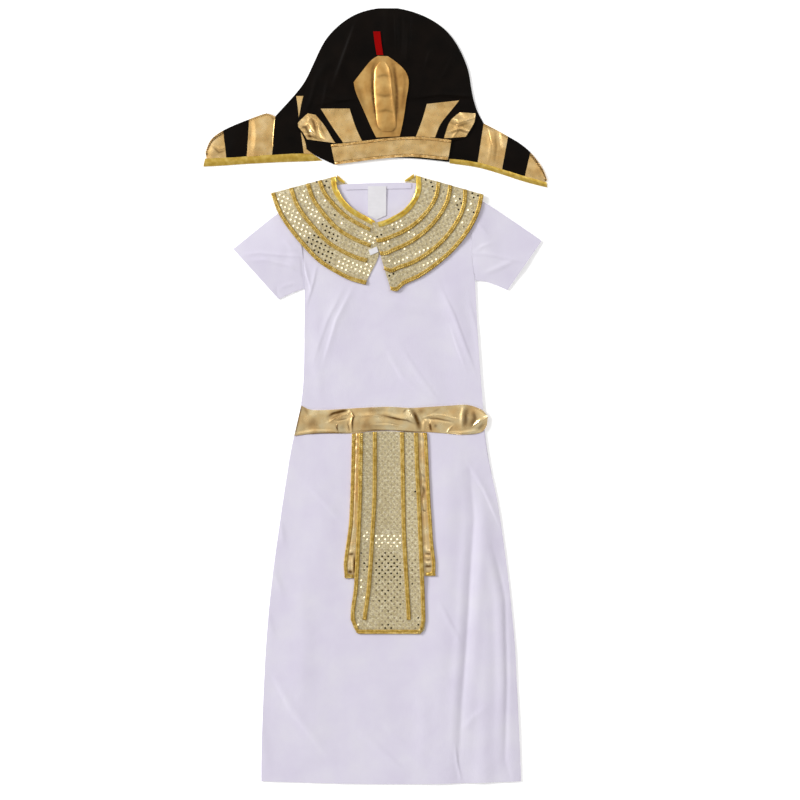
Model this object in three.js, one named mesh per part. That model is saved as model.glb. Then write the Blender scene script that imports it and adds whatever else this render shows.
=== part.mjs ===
// An Egyptian king's dressing-up costume, laid out flat on a table: a white robe with short sleeves, a sequined
// collar, a gold belt with a sequined apron and two tabs, and above them a striped black and gold headdress.
// Millimetres. +Z is up off the table, +Y runs from the hem to the crown, +X is to the right as one looks down on
// it, so a piece called left is on the left of that view. The origin is under the middle of the whole outfit.
import * as THREE from 'three';

// Driving dimensions
const WALL = 1.0; // thickness of the robe, collar and hood cloth
const THIN = 0.8; // thickness of labels, tape and sewn-on stripes
const GAP = 0.3; // between a piece and the one that it lies on
const SEAM = 0.6; // between two pieces sewn edge to edge
const BRAID = 7.0; // width of the gold braid on collar, apron and tabs
const BRAID_HEIGHT = 1.8;
const BINDING = 9.0; // width of the satin binding round the neck
const BINDING_HEIGHT = 1.3;
const HEM_DIP = 5.0; // how far the middle of the hem hangs below its corners
const CENTRE_BULGE = 15; // how far the left collar's front edge bows out
const FRONT_BOW = -1.5; // and the right one's
const BROW_DEPTH = 25; // depth of the brow band
const BROW_CORD = 4.5; // width of the twisted cord along its edges
const BROW_WALL = 1.6; // the band and the cobra are padded
const WING_BINDING_HEIGHT = 1.8;
const PAD_HEIGHT = 3.8; // how far the stuffed body of the cobra stands up

const WHITE = { color: 0xd6d1e0, roughness: 0.85, metalness: 0 };
const LABEL = { color: 0xf4f4f4, roughness: 0.7, metalness: 0 };
const SEQUINED = { color: 0xbcae8a, roughness: 0.5, metalness: 0.3 };
const BRAIDED = { color: 0xb8943c, roughness: 0.55, metalness: 0.4 };
const LAME = { color: 0xcda564, roughness: 0.35, metalness: 0.8 };
const SATIN = { color: 0xc8aa50, roughness: 0.45, metalness: 0.2 };
const BLACK = { color: 0x191614, roughness: 0.8, metalness: 0 };
const RED = { color: 0xa50505, roughness: 0.7, metalness: 0 };

// The robe's side edges from the hem to the armpits
const ROBE_SIDES = [
  { y: -656, left: -193, right: 248 },
  { y: -590, left: -192.5, right: 246 },
  { y: -503, left: -189, right: 241 },
  { y: -439, left: -186, right: 239 },
  { y: -374, left: -181, right: 233 },
  { y: -299, left: -173, right: 225 },
  { y: -227, left: -163, right: 215 },
  { y: -179, left: -156, right: 208 },
  { y: -127, left: -148, right: 196 },
  { y: -70, left: -138, right: 185.5 },
  { y: -19, left: -123.5, right: 183.5 },
  { y: 26, left: -120.5, right: 179.5 },
  { y: 94, left: -120, right: 175 },
  { y: 145, left: -119.6, right: 172 },
];
const ARMPIT_LEFT = [-119.3, 181];
const ARMPIT_RIGHT = [170, 194.7];
const ARMHOLE_LEFT = [ARMPIT_LEFT, [-121.6, 229.5], [-125.8, 263.5], [-128.4, 289], [-130.9, 328]];
const ARMHOLE_RIGHT = [ARMPIT_RIGHT, [165, 226], [163.2, 263.5], [166.6, 296], [168.3, 336.6]];
const NECK_LEFT = [-72, 355];
const NECK_RIGHT = [78, 357];
const BACK_NECK = [NECK_LEFT, [-54, 358.7], [5, 360.4], [64.6, 362], NECK_RIGHT];
const FRONT_NECK = [NECK_LEFT, [-65, 334], [-51, 315], [-28, 299], [2, 286], [31, 297], [53, 312], [70, 333],
  NECK_RIGHT];

// The outer ends of the sleeves: the points under and over the arm, out from the armhole
const SLEEVE_LEFT = [
  { under: ARMHOLE_LEFT[0], over: ARMHOLE_LEFT[4] },
  { under: [-133, 177], over: [-148, 319] },
  { under: [-148, 170.5], over: [-170, 304] },
  { under: [-156, 166.5], over: [-204, 277] },
  { under: [-163.2, 163.2], over: [-239.7, 248.2] },
];
const SLEEVE_RIGHT = [
  { under: ARMHOLE_RIGHT[0], over: ARMHOLE_RIGHT[4] },
  { under: [182, 194.5], over: [182, 329] },
  { under: [196, 190.5], over: [205, 314.5] },
  { under: [210, 185], over: [243, 289] },
  { under: [224.4, 178.5], over: [282.2, 261.8] },
];

// The collar's halves from the shoulder fold to the centre front, at the neck and at the outer edge
const COLLAR_LEFT = [
  { neck: [-66.3, 371.5], outer: [-176.8, 342.6] },
  { neck: [-64.6, 353.6], outer: [-165, 309.4] },
  { neck: [-58.5, 341], outer: [-145, 278.8] },
  { neck: [-50.5, 329.5], outer: [-120, 249] },
  { neck: [-41, 319.5], outer: [-95, 224] },
  { neck: [-29.5, 311.5], outer: [-66, 206.2] },
  { neck: [-16, 304.3], outer: [-42, 194] },
  { neck: [0, 295.2], outer: [-15.3, 187] },
];
const COLLAR_RIGHT = [
  { neck: [69, 373], outer: [184.5, 340] },
  { neck: [70.3, 352], outer: [179.5, 315] },
  { neck: [65, 336.6], outer: [165, 283.5] },
  { neck: [57.5, 324.5], outer: [139, 249] },
  { neck: [45.5, 312], outer: [108, 221] },
  { neck: [30, 303], outer: [75, 198] },
  { neck: [17, 296.5], outer: [49, 187] },
  { neck: [5, 293.5], outer: [38, 176] },
  { neck: [-4.4, 291.5], outer: [27.5, 177.5] },
];
// Where each inner braid crosses the collar, as a share of the way from neck to outer edge, at the shoulder,
// halfway and at the centre front
const BRAIDS_LEFT = [[0.25, 0.17, 0.18], [0.43, 0.4, 0.42], [0.69, 0.66, 0.65]];
const BRAIDS_RIGHT = [[0.34, 0.28, 0.26], [0.51, 0.47, 0.45], [0.73, 0.76, 0.67]];
// The collar's back, hidden under the robe but for the turn at each shoulder
const COLLAR_BACK = [
  { neck: [-66.3, 371], outer: [-176, 342] },
  { neck: [-56, 363], outer: [-150, 283] },
  { neck: [-34, 355.5], outer: [-90, 219] },
  { neck: [1, 352], outer: [3, 188] },
  { neck: [36, 356], outer: [97, 219] },
  { neck: [58, 364.5], outer: [157, 283] },
  { neck: [68.5, 372.5], outer: [183, 340] },
];

// The belt from its folded left end to its pointed right end
const BELT = [
  { x: -110, bottom: -66, top: -25 },
  { x: -76, bottom: -65, top: -25 },
  { x: -42, bottom: -65, top: -23 },
  { x: -8, bottom: -61.5, top: -21 },
  { x: 26, bottom: -60, top: -20 },
  { x: 60, bottom: -63, top: -22 },
  { x: 94, bottom: -63, top: -20 },
  { x: 128, bottom: -66, top: -18 },
  { x: 156, bottom: -67, top: -16.5 },
  { x: 172, bottom: -65.5, top: -21 },
  { x: 184, bottom: -61, top: -27 },
];
const BELT_LEFT_END = { bottom: [-137, -69], top: [-125, -18] };
const BELT_TIP = { bottom: [190, -51], top: [191.5, -37] };

// The apron's sides, and its two inner braids as shares of its width
const APRON = [
  { y: -64, left: -27, right: 73, braidA: 0.27, braidB: 0.73 },
  { y: -128, left: -28, right: 75, braidA: 0.27, braidB: 0.73 },
  { y: -178, left: -29, right: 78, braidA: 0.266, braidB: 0.72 },
  { y: -230, left: -31, right: 80, braidA: 0.244, braidB: 0.72 },
  { y: -280, left: -33, right: 82, braidA: 0.228, braidB: 0.735 },
  { y: -332, left: -36, right: 84.5, braidA: 0.21, braidB: 0.753 },
  { y: -369, left: -42, right: 85.5, braidA: 0.203, braidB: 0.778 },
  { y: -388, left: -41, right: 86.5, braidA: 0.176, braidB: 0.773 },
  { y: -398.5, left: -35.5, right: 84.5, braidA: 0.139, braidB: 0.777 },
  { y: -405.5, left: -29, right: 77, braidA: 0.103, braidB: 0.818 },
];
// The tabs beside it: the outer edge shows and the inner edge is under the apron
const TAB_LEFT = [
  { y: -64, left: -39, right: -18 },
  { y: -110, left: -40, right: -18 },
  { y: -178, left: -42, right: -18 },
  { y: -221, left: -44, right: -19 },
  { y: -255, left: -49, right: -20 },
  { y: -290, left: -54, right: -21 },
  { y: -311, left: -51, right: -22 },
];
const TAB_RIGHT = [
  { y: -64, left: 65, right: 88 },
  { y: -110, left: 65, right: 91 },
  { y: -178, left: 66, right: 94 },
  { y: -221, left: 68, right: 97 },
  { y: -255, left: 69, right: 99 },
  { y: -290, left: 70, right: 104 },
  { y: -307, left: 71, right: 102 },
];

// The headdress: the back layer and the hood that lies on it, from the lower edge to the crown
const BACK_PANEL = [
  { left: [-174.4, 408.6], right: [174, 396] },
  { left: [-172.4, 430], right: [178, 425] },
  { left: [-169, 473], right: [184, 461.5] },
  { left: [-158, 485], right: [174, 479] },
  { left: [-144, 500], right: [167, 497] },
  { left: [-131, 515], right: [163, 515] },
  { left: [-117, 533], right: [158, 535] },
  { left: [-105, 560], right: [153, 560] },
  { left: [-90, 592], right: [139, 590] },
  { left: [-67, 620], right: [115, 619] },
  { left: [-30, 643], right: [78, 643] },
  { left: [-2, 651], right: [44, 651] },
];
const HOOD = [
  { left: [-70, 392], right: [126, 396] },
  { left: [-94, 403], right: [128, 413] },
  { left: [-116, 417], right: [132, 431] },
  { left: [-119, 437], right: [156, 437] },
  { left: [-133.5, 458], right: [168, 458] },
  { left: [-128, 475], right: [175, 476] },
  { left: [-126, 491], right: [170, 492] },
  { left: [-121.5, 508], right: [166, 508] },
  { left: [-117, 527], right: [162.5, 527] },
  { left: [-109, 551], right: [159, 551] },
  { left: [-97, 579], right: [148, 579] },
  { left: [-84, 604], right: [134, 604] },
  { left: [-66, 624], right: [116, 624] },
  { left: [-44, 641], right: [90, 641] },
  { left: [-20, 652], right: [62, 652] },
  { left: [5, 657], right: [39, 657] },
];
const HOOD_BOW = 9; // how far the middle of the hood's lower edge lies above a straight line
const BACK_BOW = 7; // and the same of the back layer's
const WING_LEFT = [
  { top: [-170, 473], bottom: [-175.4, 408.6] },
  { top: [-184, 478], bottom: [-188, 407.6] },
  { top: [-199, 473.5], bottom: [-203, 406.6] },
  { top: [-214, 468], bottom: [-218, 405.5] },
  { top: [-238, 458.5], bottom: [-236, 404.6] },
  { top: [-258, 449], bottom: [-253, 403.8] },
  { top: [-272, 440], bottom: [-266, 403.1] },
  { top: [-281, 430], bottom: [-277, 402.6] },
  { top: [-287.5, 411], bottom: [-286, 402.2] },
];
const WING_RIGHT = [
  { top: [185, 461], bottom: [175, 396] },
  { top: [204, 451], bottom: [194, 391] },
  { top: [226, 439], bottom: [216, 384] },
  { top: [246, 427], bottom: [236, 378] },
  { top: [264, 412], bottom: [255, 372] },
  { top: [277, 396], bottom: [268, 368] },
  { top: [286.5, 381], bottom: [278, 365.5] },
  { top: [292, 364.5], bottom: [288, 361.9] },
];
// The satin binding under the wings: its upper and lower edge, out from the hood
const WING_BINDING_LEFT = [
  { upper: [-107.5, 409.8], lower: [-91, 398.6] },
  { upper: [-157, 409], lower: [-157, 396.8] },
  { upper: [-189, 406.8], lower: [-189, 395.2] },
  { upper: [-221.5, 404.6], lower: [-221.5, 393.5] },
  { upper: [-253, 402.9], lower: [-253, 391.2] },
  { upper: [-288, 401.2], lower: [-291, 389] },
];
const WING_BINDING_RIGHT = [
  { upper: [127.6, 401], lower: [127.2, 394.5] },
  { upper: [175, 395], lower: [173, 388] },
  { upper: [216, 383], lower: [214, 376.5] },
  { upper: [255, 371], lower: [252, 364] },
  { upper: [291, 361], lower: [292, 353.5] },
];

// Stripes and gathers of gold cloth sewn on the hood, row by row from the crown to the brow
const STRIPES = {
  stripe_front_left: [
    { left: [-92, 486], right: [-43, 486] },
    { left: [-82, 470], right: [-38, 470] },
    { left: [-69, 450], right: [-31, 450] },
    { left: [-54, 428.4], right: [-22, 431.4] },
  ],
  stripe_front_right: [
    { left: [88, 494], right: [143, 500] },
    { left: [83, 476], right: [127, 480] },
    { left: [77, 458], right: [111, 460] },
    { left: [69.5, 438.8], right: [102, 437.4] },
  ],
  stripe_gather_left: [
    { left: [-114, 478], right: [-101, 475.5] },
    { left: [-131.5, 459.5], right: [-86, 458] },
    { left: [-122.5, 446], right: [-77, 443] },
    { left: [-115.5, 434], right: [-67.5, 427.6] },
  ],
  stripe_gather_right: [
    { left: [144, 480], right: [171, 478] },
    { left: [128, 466], right: [169, 464] },
    { left: [122, 452], right: [162, 451] },
    { left: [117, 435.6], right: [154, 438.5] },
  ],
};
const BACK_STRIPE = [
  { left: [-134, 508], right: [-116, 508] },
  { left: [-131, 488], right: [-115, 488] },
  { left: [-129, 466], right: [-113, 466] },
  { left: [-125, 440], right: [-106, 440] },
  { left: [-121, 410], right: [-100, 410] },
];
const BROW_BAND = [
  { bottom: [-69, 396], top: [-74, 420.5] },
  { bottom: [-42, 399.5], top: [-43, 423.5] },
  { bottom: [-8, 404], top: [-8, 428] },
  { bottom: [26, 407.5], top: [26, 431.5] },
  { bottom: [60, 409.5], top: [60, 433.5] },
  { bottom: [94, 407], top: [94, 432] },
  { bottom: [125, 404], top: [129, 428] },
];
// The cobra from its foot to its head, and the stuffed body that stands up along its middle
const COBRA = [
  { left: [2, 437], right: [42, 439] },
  { left: [-7, 455], right: [46, 456] },
  { left: [-16, 476], right: [50, 477] },
  { left: [-28, 503], right: [53.5, 505] },
  { left: [-36.5, 529], right: [58, 531] },
  { left: [-22.5, 548], right: [53, 548] },
  { left: [-7, 568], right: [40, 562] },
  { left: [5, 575.5], right: [22, 575] },
];
const COBRA_PAD = [
  { left: [14, 447], right: [29, 447] },
  { left: [5, 455], right: [35.5, 455] },
  { left: [2, 474], right: [35, 474] },
  { left: [-1, 508], right: [31.5, 508] },
  { left: [-1.5, 540], right: [28, 541] },
  { left: [1, 556], right: [24.5, 556] },
  { left: [8, 565], right: [18, 565] },
];
const TONGUE = [
  { left: [3, 577], right: [14, 577] },
  { left: [-0.5, 597], right: [11, 597] },
  { left: [-3, 617], right: [9, 617] },
];

// The largest folds: where each one starts and ends, how far it reaches sideways and how high it stands
const ROBE_FOLDS = [
  { x0: 187, y0: -215, x1: 189, y1: -430, width: 25, lift: 3.0 },
  { x0: 189, y0: -430, x1: 184, y1: -660, width: 26, lift: 3.2 },
  { x0: 128, y0: -140, x1: 118, y1: -420, width: 38, lift: 2.4 },
  { x0: 118, y0: -420, x1: 108, y1: -660, width: 44, lift: 2.4 },
  { x0: 224, y0: -330, x1: 236, y1: -660, width: 18, lift: 2.2 },
  { x0: -150, y0: -430, x1: -92, y1: -610, width: 30, lift: 2.0 },
  { x0: -20, y0: -560, x1: 40, y1: -635, width: 30, lift: 1.6 },
  { x0: -92, y0: -150, x1: -98, y1: -330, width: 34, lift: 1.4 },
  { x0: -56, y0: 150, x1: -84, y1: 62, width: 22, lift: 1.8 },
  { x0: 128, y0: 160, x1: 158, y1: 62, width: 22, lift: 1.8 },
  { x0: 52, y0: 84, x1: 100, y1: 8, width: 26, lift: 1.6 },
];
const SLEEVE_FOLDS = [
  { x0: -228, y0: 230, x1: -140, y1: 222, width: 20, lift: 1.6 },
  { x0: -180, y0: 262, x1: -150, y1: 250, width: 18, lift: 1.2 },
  { x0: 178, y0: 280, x1: 196, y1: 250, width: 18, lift: 1.4 },
  { x0: 180, y0: 226, x1: 250, y1: 218, width: 18, lift: 1.6 },
];
const HOOD_FOLDS = [
  { x0: -34, y0: 634, x1: -56, y1: 570, width: 18, lift: 1.9 },
  { x0: -56, y0: 570, x1: -78, y1: 520, width: 20, lift: 1.9 },
  { x0: 22, y0: 646, x1: 26, y1: 600, width: 12, lift: 1.8 },
  { x0: 50, y0: 640, x1: 58, y1: 585, width: 14, lift: 1.8 },
  { x0: 112, y0: 600, x1: 92, y1: 530, width: 26, lift: 1.8 },
  { x0: 60, y0: 512, x1: 150, y1: 514, width: 14, lift: 1.9 },
  { x0: -110, y0: 500, x1: -44, y1: 496, width: 12, lift: 1.8 },
];
const BELT_FOLDS = [
  { x0: -100, y0: -34, x1: -62, y1: -44, width: 14, lift: 1.8 },
  { x0: -38, y0: -24, x1: -36, y1: -64, width: 9, lift: 2.0 },
  { x0: -20, y0: -46, x1: 56, y1: -44, width: 12, lift: 1.6 },
  { x0: 70, y0: -30, x1: 86, y1: -60, width: 11, lift: 2.2 },
  { x0: 112, y0: -50, x1: 148, y1: -44, width: 14, lift: 1.8 },
  { x0: 166, y0: -26, x1: 182, y1: -42, width: 12, lift: 2.4 },
];

const costume = new THREE.Group();
costume.name = 'pharaoh_costume';

// Small helpers
const mix = (a, b, t) => a + (b - a) * t;
const mixPoints = (a, b, t) => [mix(a[0], b[0], t), mix(a[1], b[1], t)];
const steps = (count) => Array.from({ length: count + 1 }, (_, i) => i / count);

// A smooth line through a few points in plan, read from 0 to 1 with an equal share for each stretch
function lineThrough(points) {
  const curve = new THREE.CatmullRomCurve3(
    points.map(([x, y]) => new THREE.Vector3(x, y, 0)), false, 'centripetal');
  return (t) => {
    const point = curve.getPoint(t);
    return [point.x, point.y];
  };
}

// A column's value between the rows of a table, where the key column has the given value
function valueAt(rows, key, value, column) {
  const sorted = rows.toSorted((a, b) => a[key] - b[key]);
  let i = 1;
  while (i < sorted.length - 1 && sorted[i][key] < value) i += 1;
  const [a, b] = [sorted[i - 1], sorted[i]];
  return mix(a[column], b[column], (value - a[key]) / (b[key] - a[key]));
}

// How far folds lift the cloth at a point: each is highest on its own line and fades out sideways and at its ends
function foldLift(folds, x, y) {
  const point = new THREE.Vector3(x, y, 0);
  const nearest = new THREE.Vector3();
  let lift = 0;
  for (const fold of folds) {
    const line = new THREE.Line3(new THREE.Vector3(fold.x0, fold.y0, 0), new THREE.Vector3(fold.x1, fold.y1, 0));
    const away = line.closestPointToPoint(point, true, nearest).distanceTo(point) / fold.width;
    if (away < 1) lift = Math.max(lift, fold.lift * (1 - away * away) ** 2);
  }
  return lift;
}

// The height at which cloth rests on the pieces below it. Within the spread it clears them in full, because its own
// facets are that wide, and past that it comes down to the table.
function restingHeight(x, y, below, spread) {
  let height = 0;
  for (const ring of [0, 1, 2, 3, 4]) {
    const drop = Math.max(0, ring - 2) * 0.45;
    for (let turn = 0; turn < (ring ? 8 : 1); turn += 1) {
      const angle = (turn * Math.PI) / 4;
      const radius = (ring * spread) / 2;
      for (const piece of below) {
        const top = piece.topAt(x + radius * Math.cos(angle), y + radius * Math.sin(angle));
        height = Math.max(height, top + GAP - drop);
      }
    }
  }
  return height;
}

// A grid of points in plan, u across and v along, laid on the pieces below
function laid(across, along, place, below = [], spread = 12, lift = () => 0) {
  return along.map((v) => across.map((u) => {
    const [x, y] = place(u, v);
    return [x, y, restingHeight(x, y, below, spread) + lift(x, y, u, v)];
  }));
}

// A closed solid from its points and triangles, turned so that its faces point out
function addSolid(name, finish, points, triangles) {
  let volume = 0;
  const [a, b, c] = [new THREE.Vector3(), new THREE.Vector3(), new THREE.Vector3()];
  for (const [i, j, k] of triangles) {
    volume += a.set(...points[i]).dot(b.set(...points[j]).cross(c.set(...points[k])));
  }
  const faces = volume > 0 ? triangles : triangles.map(([i, j, k]) => [i, k, j]);
  const geometry = new THREE.BufferGeometry();
  geometry.setAttribute('position', new THREE.Float32BufferAttribute(points.flat(), 3));
  geometry.setIndex(faces.flat());
  geometry.computeVertexNormals();
  const mesh = new THREE.Mesh(geometry, new THREE.MeshStandardMaterial(finish));
  mesh.name = name;
  costume.add(mesh);
}

const quad = (a, b, c, d) => [[a, b, c], [a, c, d]];

// A sheet of cloth: the grid is its underside, and the same points moved up by the wall are its top
function addSheet(name, finish, grid, wall = WALL) {
  const rows = grid.length;
  const columns = grid[0].length;
  const top = grid.map((row) => row.map(([x, y, z]) => [x, y, z + wall]));
  const points = [...grid.flat(), ...top.flat()];
  const at = (layer, i, j) => (layer * rows + i) * columns + j;
  const triangles = [];
  for (let i = 0; i < rows - 1; i += 1) {
    for (let j = 0; j < columns - 1; j += 1) {
      triangles.push(...quad(at(1, i, j), at(1, i, j + 1), at(1, i + 1, j + 1), at(1, i + 1, j)));
      triangles.push(...quad(at(0, i, j), at(0, i + 1, j), at(0, i + 1, j + 1), at(0, i, j + 1)));
    }
  }
  const side = (i0, j0, i1, j1) => quad(at(0, i0, j0), at(0, i1, j1), at(1, i1, j1), at(1, i0, j0));
  for (let j = 0; j < columns - 1; j += 1) {
    triangles.push(...side(0, j, 0, j + 1), ...side(rows - 1, j + 1, rows - 1, j));
  }
  for (let i = 0; i < rows - 1; i += 1) {
    triangles.push(...side(i + 1, 0, i, 0), ...side(i, columns - 1, i + 1, columns - 1));
  }
  addSolid(name, finish, points, triangles);
  return { grid, top, topAt: heightFinder(top) };
}

// The height of a grid's surface at a point in plan, or minus infinity beside it
function heightFinder(top) {
  const triangles = [];
  for (let i = 0; i < top.length - 1; i += 1) {
    for (let j = 0; j < top[0].length - 1; j += 1) {
      triangles.push([top[i][j], top[i][j + 1], top[i + 1][j + 1]], [top[i][j], top[i + 1][j + 1], top[i + 1][j]]);
    }
  }
  return (x, y) => {
    let height = -Infinity;
    for (const [a, b, c] of triangles) {
      const area = (b[0] - a[0]) * (c[1] - a[1]) - (c[0] - a[0]) * (b[1] - a[1]);
      const s = ((x - a[0]) * (c[1] - a[1]) - (c[0] - a[0]) * (y - a[1])) / area;
      const t = ((b[0] - a[0]) * (y - a[1]) - (x - a[0]) * (b[1] - a[1])) / area;
      if (s >= 0 && t >= 0 && s + t <= 1) height = Math.max(height, a[2] + s * (b[2] - a[2]) + t * (c[2] - a[2]));
    }
    return height;
  };
}

// A closed tube from rings of points, or with an inner set of rings a tube with a wall and open ends
function addRings(name, finish, rings, innerRings = null) {
  const size = rings[0].length;
  const points = innerRings ? [...rings.flat(), ...innerRings.flat()] : rings.flat();
  const triangles = [];
  const shift = rings.length * size;
  for (let i = 0; i < rings.length - 1; i += 1) {
    for (let j = 0; j < size; j += 1) {
      const [a, b] = [i * size + j, i * size + ((j + 1) % size)];
      triangles.push(...quad(a, a + size, b + size, b));
      if (innerRings) triangles.push(...quad(a + shift, b + shift, b + size + shift, a + size + shift));
    }
  }
  for (const [ring, turned] of [[0, false], [rings.length - 1, true]]) {
    for (let j = innerRings ? 0 : 1; j < size - (innerRings ? 0 : 1); j += 1) {
      const [a, b] = [ring * size + j, ring * size + ((j + 1) % size)];
      const cap = innerRings ? quad(a, b, b + shift, a + shift) : [[ring * size, a, b]];
      triangles.push(...(turned ? cap.map(([p, q, r]) => [p, r, q]) : cap));
    }
  }
  addSolid(name, finish, points, triangles);
}

// A braid, cord or binding with a rounded back, from pairs of points along its left and right edge. It lies on the
// cloth whose points it is given, moved up by the gap.
function addStrip(name, finish, pairs, height) {
  const shoulder = height * 0.55;
  const rings = pairs.map(([[lx, ly, lz], [rx, ry, rz]]) => [
    [lx, ly, lz + GAP],
    [rx, ry, rz + GAP],
    [rx, ry, rz + GAP + shoulder],
    [(lx + rx) / 2, (ly + ry) / 2, (lz + rz) / 2 + GAP + height],
    [lx, ly, lz + GAP + shoulder],
  ]);
  addRings(name, finish, rings);
}

// A strip that lies by itself, from pairs of points in plan
function addPlanStrip(name, finish, pairs, height, below = [], spread = 6) {
  const seat = ([x, y]) => [x, y, restingHeight(x, y, below, spread) - GAP];
  addStrip(name, finish, pairs.map(([left, right]) => [seat(left), seat(right)]), height);
}

// Points between two edges whose rows have a point in each of two named columns
function betweenEdges(rows, first, second) {
  const [a, b] = [lineThrough(rows.map((row) => row[first])), lineThrough(rows.map((row) => row[second]))];
  return (u, v) => mixPoints(a(v), b(v), u);
}

// The robe: front and back share their side edges, armholes and shoulders
const ARM_ROWS = 7;
const FRONT_ROWS = [0, 0.03, ...steps(20).slice(1)];
const BACK_ROWS = steps(11);
// The front's columns are closest on the right, where its main folds run down to the hem
const FRONT_COLUMNS = [0, 0.04, 0.12, 0.2, 0.28, 0.36, 0.44, 0.53, 0.62, 0.7, 0.75, 0.79, 0.825, 0.86, 0.895, 0.93,
  0.965, 1];
const BACK_COLUMNS = [0, 0.1, 0.2, 0.32, 0.45, 0.58, 0.7, 0.8, 0.9, 1];
const sideLeft = lineThrough([...ROBE_SIDES.map(({ y, left }) => [left, y]), ARMPIT_LEFT]);
const sideRight = lineThrough([...ROBE_SIDES.map(({ y, right }) => [right, y]), ARMPIT_RIGHT]);
const armholeLeft = lineThrough(ARMHOLE_LEFT);
const armholeRight = lineThrough(ARMHOLE_RIGHT);

// The top edge of a panel: shoulder, neck, shoulder. The neck takes the columns from 0.2 to 0.7.
function topEdge(neckPoints) {
  const neck = lineThrough(neckPoints);
  return (u) => {
    if (u <= 0.2) return mixPoints(ARMHOLE_LEFT[4], NECK_LEFT, u / 0.2);
    if (u >= 0.7) return mixPoints(NECK_RIGHT, ARMHOLE_RIGHT[4], (u - 0.7) / 0.3);
    return neck((u - 0.2) / 0.5);
  };
}

// Below the armpits v runs from 0 to 1, and above them from 1 to 2, where the panel is blended from its four edges
function robePlace(edge) {
  return (u, v) => {
    if (v <= 1) {
      const [x, y] = mixPoints(sideLeft(v), sideRight(v), u);
      return [x, y - HEM_DIP * Math.sin(Math.PI * u) * (1 - v) ** 6];
    }
    const s = v - 1;
    const lower = mixPoints(ARMPIT_LEFT, ARMPIT_RIGHT, u);
    const upper = edge(u);
    const [left, right] = [armholeLeft(s), armholeRight(s)];
    const leftBow = mixPoints(ARMHOLE_LEFT[0], ARMHOLE_LEFT[4], s);
    const rightBow = mixPoints(ARMHOLE_RIGHT[0], ARMHOLE_RIGHT[4], s);
    return [0, 1].map((axis) => mix(lower[axis], upper[axis], s)
      + (1 - u) * (left[axis] - leftBow[axis]) + u * (right[axis] - rightBow[axis]));
  };
}
const ARM_SHARES = steps(ARM_ROWS).slice(1).map((s) => 1 + s);

// The layers that lie on the table under the robe
const collarBack = addSheet('collar_back', SEQUINED,
  laid(steps(4), steps(12), betweenEdges(COLLAR_BACK, 'neck', 'outer')));
const beltRows = [
  { x: -137, bottom: -68.5, top: -19.5 }, ...BELT, { x: 189, bottom: -53, top: -33 },
];
const beltBack = addSheet('belt_back', LAME, laid([0, 1], steps(14), (u, v) => {
  const x = mix(mix(-136, -124.6, u), 186, v);
  return [x, mix(valueAt(beltRows, 'x', x, 'bottom'), valueAt(beltRows, 'x', x, 'top'), u)];
}));

const robeBack = addSheet('robe_back', WHITE, laid(BACK_COLUMNS, [...BACK_ROWS, ...ARM_SHARES],
  robePlace(topEdge(BACK_NECK)), [collarBack, beltBack], 30));
const sideFade = (u) => THREE.MathUtils.smoothstep(Math.min(u, 1 - u), 0, 0.05);
const robeFront = addSheet('robe_front', WHITE, laid(FRONT_COLUMNS, [...FRONT_ROWS, ...ARM_SHARES],
  robePlace(topEdge(FRONT_NECK)), [robeBack], 14, (x, y, u) => foldLift(ROBE_FOLDS, x, y) * sideFade(u)));

// Sleeves: flattened tubes, open at the armhole and the cuff
const SLEEVE_STEPS = 8;
const SLEEVE_ROOM = 1.4; // between the two walls in the middle of the sleeve
function addSleeve(name, rows, armhole, outward) {
  const edges = betweenEdges(rows, 'under', 'over');
  const place = (u, v) => {
    const [x, y] = edges(u, v);
    const [ax, ay] = armhole(u);
    const [sx, sy] = mixPoints(armhole(0), armhole(1), u);
    const follow = (1 - v) ** 2;
    return [x + (ax - sx) * follow + outward * SEAM, y + (ay - sy) * follow];
  };
  const [outer, inner, top] = [[], [], []];
  for (const v of steps(SLEEVE_STEPS)) {
    const lower = laid(steps(ARM_ROWS), [v], place, [collarBack], 18)[0];
    const room = (u, x, y) => 0.4 + SLEEVE_ROOM * Math.sin(Math.PI * u) ** 0.7 + foldLift(SLEEVE_FOLDS, x, y);
    const upper = lower.map(([x, y, z], j) => [x, y, z + 2 * WALL + room(j / ARM_ROWS, x, y)]);
    const shrink = ([x, y, z], j, rise) => {
      if (j > 0 && j < ARM_ROWS) return [x, y, z + rise];
      const next = lower[j === 0 ? 1 : j - 1];
      const share = WALL / Math.hypot(next[0] - x, next[1] - y);
      return [mix(x, next[0], share), mix(y, next[1], share), z + rise];
    };
    outer.push([...lower, ...upper.slice().reverse()]);
    inner.push([...lower.map((p, j) => shrink(p, j, WALL)),
      ...upper.map((p, j) => shrink(p, j, -WALL)).reverse()]);
    top.push(upper);
  }
  addRings(name, WHITE, outer, inner);
  return { topAt: heightFinder(top) };
}
const sleeveLeft = addSleeve('sleeve_left', SLEEVE_LEFT, armholeLeft, -1);
const sleeveRight = addSleeve('sleeve_right', SLEEVE_RIGHT, armholeRight, 1);

// Inside the back neck: the tape over the seam, and a blank care label hanging from it
const neckTape = addSheet('neck_tape', WHITE, laid(steps(10), [0, 1],
  (u, v) => [mix(-50, 62, u), mix(348.5, 357.5, v) + mix(0, 2.2, u)], [robeBack], 14), THIN);
const labelPlace = (u, v) => [mix(-12, 19, u), mix(305, 354.5, v) - (v === 0 && u === 0.5 ? 7 : 0)];
addSheet('care_label', LABEL, laid([0, 0.5, 1], [0, 0.2, 0.6, 1], labelPlace, [robeBack, neckTape], 14), THIN);

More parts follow.
